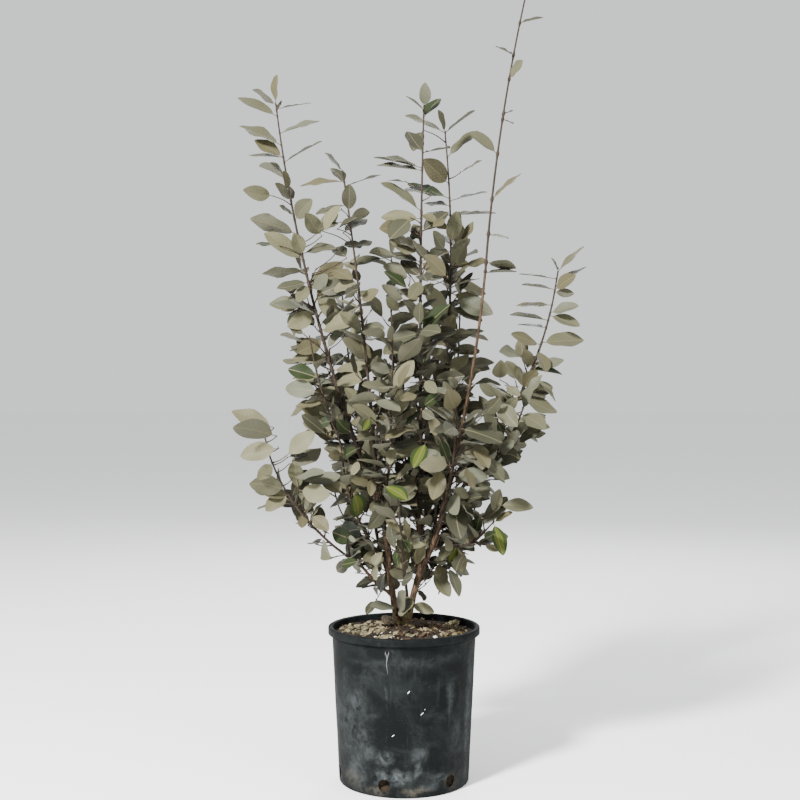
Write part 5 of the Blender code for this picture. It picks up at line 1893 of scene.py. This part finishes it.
def blade_points(leaf, settings, rows, columns, part):
    """Points spread over a leaf's blade, out to a part of its half width."""
    shares = np.linspace(*BLADE_SPAN, rows)[:, None]
    sides = np.linspace(-part, part, columns)[None]
    half = leaf.length * (1 - settings.stalk) * settings.leaf_width / 2
    aside = sides * half * np.sin(pi * shares) ** OUTLINE_POWER
    share = settings.stalk + (1 - settings.stalk) * shares
    along, normal = np.array(leaf.along), np.array(leaf.normal)
    points = np.array(leaf.root) + share[..., None] * leaf.length * along
    points = points + aside[..., None] * np.cross(normal, along)
    points = points - (leaf.arch * leaf.length * share ** 2)[..., None] * normal
    return points.reshape(-1, 3)


class Sight:
    """What stays in sight for the viewer: gaps of sky, bare wood and the shown leaves.

    It holds a small grid of the view. Each cell has the depth that nothing may stand before.
    """

    def __init__(self):
        self.depths = np.full(SIGHT_CELLS, -SKY_DEPTH)
        self.wood = np.zeros(SIGHT_CELLS, bool)

    def cells(self, points):
        away = points[:, 1] - CAMERA_PLACE[1]
        aside = (points[:, 0] - CAMERA_PLACE[0]) / away - SIGHT_CORNER[0]
        high = (points[:, 2] - CAMERA_PLACE[2]) / away - SIGHT_CORNER[1]
        return (aside / SIGHT_CELL).astype(int), (high / SIGHT_CELL).astype(int)

    def keep(self, points):
        np.maximum.at(self.depths, self.cells(points), points[:, 1])

    def keep_gap(self, across, up, radius):
        """Keeps a round gap free from front to back."""
        spread = np.linspace(-radius, radius, 2 + int(radius / SIGHT_STEP))
        x, z = (part.ravel() for part in np.meshgrid(spread, spread))
        inside = x * x + z * z <= radius * radius
        x, z = x[inside], z[inside]
        points = np.stack((across + x, np.zeros_like(x), up + z), axis=1)
        self.depths[self.cells(points)] = SKY_DEPTH

    def keep_wood(self, points, radius, start):
        """Keeps a limb in sight from a share of its length on."""
        count = round(path_length(points) / SIGHT_STEP)
        line = [tuple(at_share(points, i / count)[0]) for i in range(round(start * count), count)]
        for side in (-radius, 0, radius):
            points = np.array(line) + np.array((side, 0, 0))
            self.keep(points)
            self.wood[self.cells(points)] = True

    def is_hidden_by(self, leaf, settings):
        points = blade_points(leaf, settings, *SIGHT_TEST)
        cells = self.cells(points)
        depths = self.depths[cells]
        before = depths > points[:, 1]
        sky = (depths == SKY_DEPTH).sum()
        wood = (before & self.wood[cells]).sum()
        return sky > SKY_MOST or wood > WOOD_MOST or before.sum() - sky - wood > HIDES_MOST


def shoot_tree(shoot):
    """A search tree of a shoot as a plain three-sided tube."""
    count = len(shoot.points) - 1
    radii = [between((shoot.foot_radius, shoot.tip_radius), i / count) for i in range(count + 1)]
    return tree_of(*sweep(shoot.points, radii, 3))


def deal_tint(light, rng):
    return rng.choices(TINTS, LIGHTS[light])[0]


def grow_wood(room, paths, leaders):
    """The shoots, twigs and spurs that find room, for each mass and each limb."""
    wood = {}
    for name, mass in MASSES.items():
        leader = leaders[name]
        taken = [((name, 0), leader)]
        until = OPEN_FROM.get(name, 1)
        sprouts = grow_shoots(
            mass, leader, mass.seed, mass.shoots, SHOOT_SIZES, SHOOT_ZONE, until
        )
        extra = round(mass.shoots * FINE_SHARE)
        sprouts += grow_shoots(
            mass, leader, mass.seed + FINE_SEED, extra, FINE_SIZES, FINE_ZONE, until
        )
        for number, shoot in enumerate(sprouts, 1):
            if room.takes_shoot(name, (name, number), (name, 0), shoot):
                taken.append(((name, number), shoot))
        rng = random.Random(mass.seed + TWIG_SEED)
        for key, shoot in taken[1:]:
            for k, twig in enumerate(grow_twigs(shoot, rng)):
                if room.takes_shoot(name, (*key, k), key, twig):
                    taken.append(((*key, k), twig))
        wood[name] = taken
    for limb, path in paths.items():
        if limb in BARE_LIMBS:
            continue
        spurs = enumerate(grow_spurs(limb, path))
        wood[limb] = [
            ((limb, k), spur) for k, spur in spurs
            if room.takes_shoot(None, (limb, k), limb, spur)
        ]
    return wood


def place_shown(room, sight, wood, leaders, settings):
    """The leaves that show one by one, each held by the nearest wood or by a twig from it."""
    holders = []
    for taken in wood.values():
        for key, shoot in taken:
            count = round(path_length(shoot.points) / HOLDER_STEP)
            holders += [(key, at_share(shoot.points, i / count)[0]) for i in range(count + 1)]
    spots = np.array([tuple(spot) for _, spot in holders])
    leaves = []
    held_by = {}
    marks = [(name, mark) for name, rows in SHOWN_LEAVES.items() for mark in rows]
    lines = {
        name: [at_share(leaders[name].points, i / LEADER_SPOTS)[0] for i in range(LEADER_SPOTS + 1)]
        for name in SHOWN_LEAVES
    }
    for number, (name, row) in enumerate(marks):
        base, tip, upward = place_mark(row, lines[name])
        away = np.linalg.norm(spots - np.array(base), axis=1)
        high = np.maximum(0, spots[:, 2] - base.z + SHOWN_TWIG_FALL * away)
        best = int(np.argmin(away + high))
        holder, foot = holders[best]
        twig = None
        key = holder
        if away[best] < SHOWN_TWIG_LEAST:
            base = foot
        else:
            key = (holder[0], "shown", number)
            bow = (base - foot).cross(VIEWER) * SHOOT_BOW
            points = bowed_path(foot, base, bow, SHOOT_STEP)
            twig = Shoot(points, TWIG_FOOT_RADIUS, TWIG_TIP_RADIUS, 2)
            if not room.takes_shoot(None, key, holder, twig):
                continue
        for deeper, extra in SHOWN_TRIES:
            along = tip + Vector((0, deeper * MILLIMETRE, 0)) - base
            size = along.length
            along = along / size
            face = face_of(along, upward + radians(extra))
            leaf = Leaf(base, along, face, size, SHOWN_ARCH, key, row[-1])
            if room.takes_leaf(None, key, leaf, settings):
                leaves.append(leaf)
                sight.keep(blade_points(leaf, settings, *SIGHT_COVER))
                if twig:
                    wood[holder[0]].append((key, twig))
                    held_by[key] = holder
                break
        else:
            if twig:
                room.wood.pop()
    return leaves, held_by


def carried(wood, leaves, held_by):
    """The leaders, and the shoots and twigs that bear a leaf or hold one that does."""
    kept = {(name, 0) for name in MASSES}
    for leaf in leaves:
        key = leaf.spray
        while key and key not in kept:
            kept.add(key)
            key = held_by.get(key, key[:-1])
    return [
        (name, shoot) for name, taken in wood.items() for key, shoot in taken if key in kept
    ]


def grow_plant(settings):
    """Every mass's shoots and leaves that find room."""
    paths = limb_paths()
    leaders = {name: make_leader(mass, paths) for name, mass in MASSES.items()}
    fixed = {name: tree_of_node(name) for name in (*LIMBS, "pot", "soil")}
    room = Room(Spaces(leaders), fixed)
    for name, leader in leaders.items():
        room.add_wood((name, 0), leader)
    sight = Sight()
    for across, down, radius in SKY_GAPS:
        middle = from_photo(across, down, 0)
        sight.keep_gap(middle.x, middle.z, radius * -CAMERA_PLACE[1] / PHOTO_FOCUS)
    for name, start in IN_SIGHT.items():
        if name in LIMBS:
            sight.keep_wood(paths[name], LIMBS[name].tip_radius, start)
        else:
            sight.keep_wood(leaders[name].points, LEADER_TIP_RADIUS, start)
    wood = grow_wood(room, paths, leaders)
    leaves, held_by = place_shown(room, sight, wood, leaders, settings)
    usual = Habit(settings.gap, BARE_LEADER, BARE_SHOOT, 1.0)
    inner = Habit(settings.gap, BARE_LEADER, BARE_SHOOT, INNER_SHARE)
    for number, (name, taken) in enumerate(wood.items()):
        mass = MASSES.get(name)
        light = mass.light if mass else "shade"
        habit = HABITS.get(name, inner if light == "shade" else usual)
        rng = random.Random(LEAF_SEED + number)
        tints = random.Random(f"{name} {number}")
        for key, shoot in taken:
            if "shown" in key:
                continue
            spray = deal_tint(light, tints)
            until = 1 if shoot.rank else OPEN_FROM.get(name, 1)
            for choices in grow_leaves(shoot, habit, settings, rng, until):
                tint = deal_tint(light, tints) if tints.random() < STRAY_TINT else spray
                if light in ODD_LIGHTS and tints.random() < ODD_LEAF:
                    tint = "deep"
                for leaf in choices:
                    if sight.is_hidden_by(leaf, settings):
                        continue
                    if room.takes_leaf(name if mass else None, key, leaf, settings):
                        leaves.append(leaf._replace(spray=key, tint=tint))
                        break
    return carried(wood, leaves, held_by), leaves


TWIG_RING = 0.0030
TWIG_SIDES = 7
NODES = (0.35, 0.0018)  # how much a shoot swells where a leaf stands, and how far along it
WHIP_NODES = (0.85, 0.0034)
NO_NODE = (9, 9, 9)  # a place far from the plant


def make_twigs(shoots, leaves, settings):
    """All the shoots and twigs as one piece, each a little swollen where a leaf stands."""
    roots = {}
    for leaf in leaves:
        roots.setdefault(leaf.spray[0], []).append(leaf.root)
    shape = Shape()
    for name, shoot in shoots:
        swell, reach = WHIP_NODES if name == "whip_top" else NODES
        path = smooth_path(shoot.points, TWIG_RING)
        centres = np.array([tuple(point) for point in path])
        nodes = np.array([tuple(root) for root in roots.get(name, [])] or [NO_NODE])
        away = np.linalg.norm(centres[:, None] - nodes[None], axis=2).min(1)
        taper = np.linspace(shoot.foot_radius, shoot.tip_radius, len(path))
        radii = taper * (1 + swell * np.exp(-((away / reach) ** 2)))
        if shoot.rank:
            radii[:2] *= 1 + swell
        shape.add(*sweep(path, radii, TWIG_SIDES))
    young = bark_finish("young twig bark", settings.twig, settings.furrow)
    return shape.piece("twigs", [young], "bark", MASSES, sharp=radians(60))


STALK_ROUND = 6
STALK_RADII = (0.0010, 0.0007, 0.0007, 0.0008)
BUD_LENGTH = 0.0036
BUD_PROFILE = (0.35, 0.9, 1.0, 0.75, 0.2)
BUD_RADIUS = 0.0010
BUD_SIDES = 6
BUD_EVERY = 3
BUD_FOOT = 0.0006
BUD_RISE = 1.2
BUD_FACE = 0.4
BUD_COLOUR = (84, 67, 48)
STALK_OVERLAP = 1.06  # how far a stalk reaches, a share of its length
STALK_LEAST = 0.4  # how thick the smallest leaf's stalk is, a share of the usual


def stalk_line(leaf, settings):
    """The middle line of a leaf's stalk, bent as the leaf is."""
    line = []
    for i in range(len(STALK_RADII)):
        share = settings.stalk * STALK_OVERLAP * i / (len(STALK_RADII) - 1)
        bend = -leaf.arch * share * share * leaf.length
        line.append(leaf.root + leaf.along * (share * leaf.length) + leaf.normal * bend)
    return line


def make_stalks(leaves, settings):
    """The leaves' stalks, and a bud above each third one."""
    stalks = Shape()
    buds = Shape()
    for number, leaf in enumerate(leaves):
        scale = min(1, STALK_LEAST + leaf.length / settings.leaf_length * (1 - STALK_LEAST))
        radii = [radius * scale for radius in STALK_RADII]
        stalks.add(*sweep(stalk_line(leaf, settings), radii, STALK_ROUND))
        if number % BUD_EVERY == 0:
            aim = (leaf.along + UP * BUD_RISE + leaf.normal * BUD_FACE).normalized()
            count = len(BUD_PROFILE) - 1
            reaches = [BUD_LENGTH * i / count + BUD_FOOT for i in range(count + 1)]
            line = [leaf.root + aim * reach for reach in reaches]
            buds.add(*sweep(line, [BUD_RADIUS * part for part in BUD_PROFILE], BUD_SIDES))
    stalk, tree, shader = new_finish("leaf stalks", 0.7)
    shader.inputs["Base Color"].default_value = (*settings.petiole, 1)
    scurf = noise_at(tree, place_of(tree), 1500, 2)
    tree.links.new(step_over(tree, scurf, 0.3, 0.7, 0.6, 0.85), shader.inputs["Roughness"])
    bump(tree, shader, [(scurf, 0.0002)])
    stalks.piece("leaf_stalks", [stalk], "foliage")
    scales, tree, shader = new_finish("bud scales", 0.75)
    shader.inputs["Base Color"].default_value = (*paint(*BUD_COLOUR), 1)
    scurf = noise_at(tree, place_of(tree), 1200, 2)
    bump(tree, shader, [(scurf, 0.0003)])
    buds.piece("buds", [scales], "foliage")


def leaf_grid():
    """One leaf's grid: rows along it, strips across it, and its outline's half widths."""
    rows = np.array([(1 - cos(pi * i / LEAF_ROWS)) / 2 for i in range(LEAF_ROWS + 1)])
    half = np.sin(pi * rows ** WIDEST_SHIFT).clip(0) ** OUTLINE_POWER
    half = np.maximum(half, LEAST_HALF)
    across = np.tile(np.array(LEAF_STRIPS), (len(rows), 1))
    rib = np.minimum(MIDRIB_MOST, MIDRIB_SHARE / half)
    across[:, 2] = -rib
    across[:, 3] = rib
    return rows, half, across


def leaf_pattern():
    """The faces of one leaf, the finish of each, and its points' places on the blade.

    Both sides share the rim and both ends, so that a leaf is one closed body.
    Finish 0 is the upper side's margin, 1 the underside, 2 the midrib and 3 the middle.
    """
    rows, _, across = leaf_grid()
    height, width = across.shape
    upper = np.arange(height * width).reshape(height, width)
    lower = upper.copy()
    inside = np.arange((height - 2) * (width - 2)).reshape(height - 2, width - 2)
    lower[1:-1, 1:-1] = inside + height * width
    faces = []
    finishes = []
    places = []
    for r in range(height - 1):
        for c in range(width - 1):
            middle = c == (width - 2) // 2
            corners = ((r, c), (r + 1, c), (r + 1, c + 1), (r, c + 1))
            inner = 0 < c < width - 2 and 0 < r < height - 2
            faces.append([upper[spot] for spot in corners])
            finishes.append(2 if middle else 3 if inner else 0)
            back = (corners[0], *corners[:0:-1])
            faces.append([lower[spot] for spot in back])
            finishes.append(2 if middle else 1)
            for spots in (corners, back):
                places += [(rows[i], across[i, j] / 2 + 0.5) for i, j in spots]
    return np.array(faces), np.array(finishes), np.array(places)


def leaf_cloud(leaves, settings, rng):
    """The points of all the leaves, one row of points for each."""
    rows, half, strips = leaf_grid()
    along_share = np.repeat(rows[:, None], strips.shape[1], axis=1)
    count = len(leaves)

    def spread(values):
        return np.array(values)[:, None, None]

    length = spread([leaf.length for leaf in leaves])
    blade = length * (1 - settings.stalk)
    arch = spread([leaf.arch for leaf in leaves])
    fold = spread([rng.uniform(*FOLDS) for _ in range(count)])
    wave = spread([rng.uniform(*WAVES) for _ in range(count)])
    phase = spread([rng.uniform(0, tau) for _ in range(count)])
    twist = spread([rng.gauss(0, TWISTS) for _ in range(count)])
    plump = spread([rng.uniform(*PLUMPNESS) for _ in range(count)])
    skew = spread([rng.gauss(0, SKEWS) for _ in range(count)])
    side = strips * half[:, None] * (blade * settings.leaf_width * plump / 2)
    share = settings.stalk + (1 - settings.stalk) * along_share
    ripple = np.sin(tau * WAVE_COUNT * along_share + phase + np.sign(strips) * RIPPLE_SHIFT)
    lift = fold * np.abs(side) + wave * blade * ripple * strips ** 2 * half[:, None]
    lift = lift - arch * share ** 2 * length
    side = side + skew * blade * np.sin(pi * along_share)
    turned = twist * (along_share - TWIST_MIDDLE)
    lift = lift + side * np.sin(turned)
    side = side * np.cos(turned)
    edge = 1 - np.abs(strips) ** 2
    body = LEAF_THICKNESS * edge
    rib = np.zeros_like(strips)
    rib[1:-1, 2:4] = LEAF_THICKNESS
    roots = np.array([tuple(leaf.root) for leaf in leaves])
    ways = np.array([tuple(leaf.along) for leaf in leaves])
    ups = np.array([tuple(leaf.normal) for leaf in leaves])
    sides = np.cross(ups, ways)

    def placed(height):
        return (
            roots[:, None, None] + ways[:, None, None] * (share * length)[..., None]
            + sides[:, None, None] * side[..., None] + ups[:, None, None] * height[..., None]
        )

    upper = placed(lift + body / 2 - rib * RIB_RISE)
    lower = placed(lift - body / 2 - rib * RIB_DROP)[:, 1:-1, 1:-1]
    return np.concatenate((upper.reshape(count, -1, 3), lower.reshape(count, -1, 3)), axis=1)


def blade_finish(name, colour, roughness=0.60, veins=0.00012, specular=0.22):
    """A leathery leaf: one plain colour, with a satin of scales and raised side veins."""
    finish, tree, shader = new_finish(
        name, roughness, Sheen_Weight=0.04, Sheen_Roughness=0.55, Specular_IOR_Level=specular
    )
    shader.inputs["Base Color"].default_value = (*colour, 1)
    place = place_of(tree)
    flat = add_node(tree, "ShaderNodeUVMap", {}, uv_map="Blade").outputs["UV"]
    parts = add_node(tree, "ShaderNodeSeparateXYZ", {0: flat})
    aside = maths(tree, "ABSOLUTE", maths(tree, "SUBTRACT", parts.outputs["Y"], 0.5))
    slant = maths(tree, "SUBTRACT", parts.outputs["X"], maths(tree, "MULTIPLY", aside, 0.42))
    waves = maths(tree, "SINE", maths(tree, "MULTIPLY", slant, 9 * tau))
    vein = step_over(tree, waves, 0.72, 1.0)
    scurf = noise_at(tree, place, 1100, 3, 0.6)
    pucker = noise_at(tree, place, 170, 2)
    tree.links.new(
        step_over(tree, scurf, 0.3, 0.7, roughness - 0.12, roughness + 0.12),
        shader.inputs["Roughness"],
    )
    bump(tree, shader, [(pucker, 0.0003), (vein, veins)])
    return finish


def make_leaves(leaves, settings):
    """The leaves, joined into one piece for each tint."""
    faces, finishes, places = leaf_pattern()
    under = blade_finish("leaf underside", settings.underside, 0.66)
    rib = blade_finish("leaf midrib", settings.midrib, 0.55, 0.0)
    blotch = blade_finish("leaf blotch", settings.blotch, specular=0.12)
    for tint in TINTS:
        chosen = [leaf for leaf in leaves if leaf.tint == tint]
        if not chosen:
            raise RuntimeError(f"no leaf has the tint {tint}")
        rng = random.Random(tint)
        cloud = leaf_cloud(chosen, settings, rng)
        starts = np.arange(len(chosen)) * cloud.shape[1]
        joined = (faces[None] + starts[:, None, None]).reshape(-1, 4)
        specular = 0.12 if tint in ("deep", "fresh") else 0.22
        name = "leaf " + tint.replace("_", " ")
        upper = blade_finish(name, getattr(settings, tint), specular=specular)
        middle = blotch if tint == "fresh" else upper
        uses = np.tile(finishes, len(chosen))
        piece = make_piece(
            "leaves_" + tint, cloud.reshape(-1, 3), joined.tolist(),
            [upper, under, rib, middle], MASSES, uses, radians(75),
        )
        layer = piece.data.uv_layers.new(name="Blade")
        layer.data.foreach_set("uv", np.tile(places, (len(chosen), 1)).ravel())


STAGE_FLOOR = 60.0  # radius of the flat floor
FLOOR_SIDES = 96
AIR_COLOUR = (0.97, 0.985, 1.0)
SENSOR_WIDTH = 36
CAMERA_PLACE = (-0.0069, -2.097, 0.651)
AIM = Vector((0, 0, 0.65))
LIGHTS_PLACED = {
    "key light": ((-1.9, -2.6, 2.7), 0.6, "key", 1.0),
    "fill light": ((2.6, -2.0, 1.6), 2.2, "fill", 1.0),
    "back light": ((0.6, 2.8, 2.6), 2.0, "fill", 1.3),
}


def clear_start_scene():
    """Takes away the objects that Blender starts with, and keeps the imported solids."""
    kept = {*frame["nodes"].values(), *frame["bodies"].values()}
    for thing in list(bpy.data.objects):
        if thing not in kept:
            bpy.data.objects.remove(thing, do_unlink=True)


def make_stage(settings):
    """A wide pale floor, soft lights and the camera."""
    angles = [k * tau / FLOOR_SIDES for k in range(FLOOR_SIDES)]
    rim = [(STAGE_FLOOR * cos(a), STAGE_FLOOR * sin(a), -SEAT_GAP) for a in angles]
    mesh = bpy.data.meshes.new("studio floor")
    mesh.from_pydata(rim, [], [tuple(range(FLOOR_SIDES))])
    finish, tree, shader = new_finish("studio paper", 0.9)
    grain = noise_at(tree, place_of(tree), 60, 3)
    shader.inputs["Base Color"].default_value = (*settings.floor, 1)
    bump(tree, shader, [(grain, 0.0002)])
    mesh.materials.append(finish)
    floor = link_object("studio_floor", mesh)
    for name, (place, size, power, share) in LIGHTS_PLACED.items():
        lamp = bpy.data.lights.new(name, "AREA")
        lamp.shape = "DISK"
        lamp.size = size
        lamp.energy = getattr(settings, power) * share
        thing = link_object(name, lamp)
        thing.location = place
        thing.rotation_euler = (AIM - thing.location).to_track_quat("-Z", "Y").to_euler()
    world = bpy.data.worlds.new("studio air")
    world.use_nodes = True
    backdrop = world.node_tree.nodes["Background"]
    backdrop.inputs["Color"].default_value = (*AIR_COLOUR, 1)
    backdrop.inputs["Strength"].default_value = settings.sky
    bpy.context.scene.world = world
    data = bpy.data.cameras.new("camera")
    data.sensor_width = SENSOR_WIDTH
    data.lens = settings.lens
    camera = link_object("camera", data)
    camera.location = CAMERA_PLACE
    camera.rotation_euler = (pi / 2, 0, 0)
    bpy.context.scene.camera = camera


class SHRUB_OT_stage(Operator):
    """Make the floor, the lights and the camera"""

    bl_idname = "shrub.stage"
    bl_label = "Stage"

    def execute(self, context):
        clear_start_scene()
        make_stage(context.scene.shrub.stage)
        return {"FINISHED"}


class SHRUB_OT_pot(Operator):
    """Make the weathered pot with its drain holes"""

    bl_idname = "shrub.pot"
    bl_label = "Pot"

    def execute(self, context):
        make_pot(context.scene.shrub.pot)
        make_flecks()
        return {"FINISHED"}


class SHRUB_OT_soil(Operator):
    """Make the soil that fills the pot"""

    bl_idname = "shrub.soil"
    bl_label = "Soil"

    def execute(self, context):
        make_soil(context.scene.shrub.soil)
        return {"FINISHED"}


class SHRUB_OT_litter(Operator):
    """Strew chips, grit, bark, moss and bits of twig on the soil"""

    bl_idname = "shrub.litter"
    bl_label = "Litter"

    def execute(self, context):
        make_litter(context.scene.shrub.soil)
        return {"FINISHED"}


class SHRUB_OT_limbs(Operator):
    """Make the bark of the stems, the boughs and the whip"""

    bl_idname = "shrub.limbs"
    bl_label = "Limbs"

    def execute(self, context):
        make_limbs(context.scene.shrub.wood)
        return {"FINISHED"}


class SHRUB_OT_foliage(Operator):
    """Grow the twigs, stalks, buds and leaves"""

    bl_idname = "shrub.foliage"
    bl_label = "Foliage"

    def execute(self, context):
        shrub = context.scene.shrub
        shoots, leaves = grow_plant(shrub.foliage)
        make_twigs(shoots, leaves, shrub.wood)
        make_stalks(leaves, shrub.foliage)
        make_leaves(leaves, shrub.foliage)
        return {"FINISHED"}


class VIEW3D_PT_shrub(Panel):
    """The shrub's steps and settings"""

    bl_label = "Potted Elaeagnus"
    bl_space_type = "VIEW_3D"
    bl_region_type = "UI"
    bl_category = "Shrub"

    def draw(self, context):
        column = self.layout.column()
        for step in STEPS:
            column.operator(step.bl_idname)
        shrub = context.scene.shrub
        for group in (shrub.pot, shrub.soil, shrub.wood, shrub.foliage, shrub.stage):
            box = self.layout.box()
            for name in group.__annotations__:
                box.prop(group, name)


SETTINGS = (PotSettings, SoilSettings, WoodSettings, FoliageSettings, StageSettings, ShrubSettings)
STEPS = (
    SHRUB_OT_stage, SHRUB_OT_pot, SHRUB_OT_soil, SHRUB_OT_litter, SHRUB_OT_limbs, SHRUB_OT_foliage,
)


def register():
    for kind in (*SETTINGS, *STEPS, VIEW3D_PT_shrub):
        bpy.utils.register_class(kind)
    bpy.types.Scene.shrub = PointerProperty(type=ShrubSettings)


def unregister():
    del bpy.types.Scene.shrub
    for kind in (VIEW3D_PT_shrub, *STEPS[::-1], *SETTINGS[::-1]):
        bpy.utils.unregister_class(kind)


def main():
    register()
    bpy.ops.shrub.stage()
    bpy.ops.shrub.pot()
    bpy.ops.shrub.soil()
    bpy.ops.shrub.litter()
    bpy.ops.shrub.limbs()
    bpy.ops.shrub.foliage()


if __name__ == "__main__":
    main()
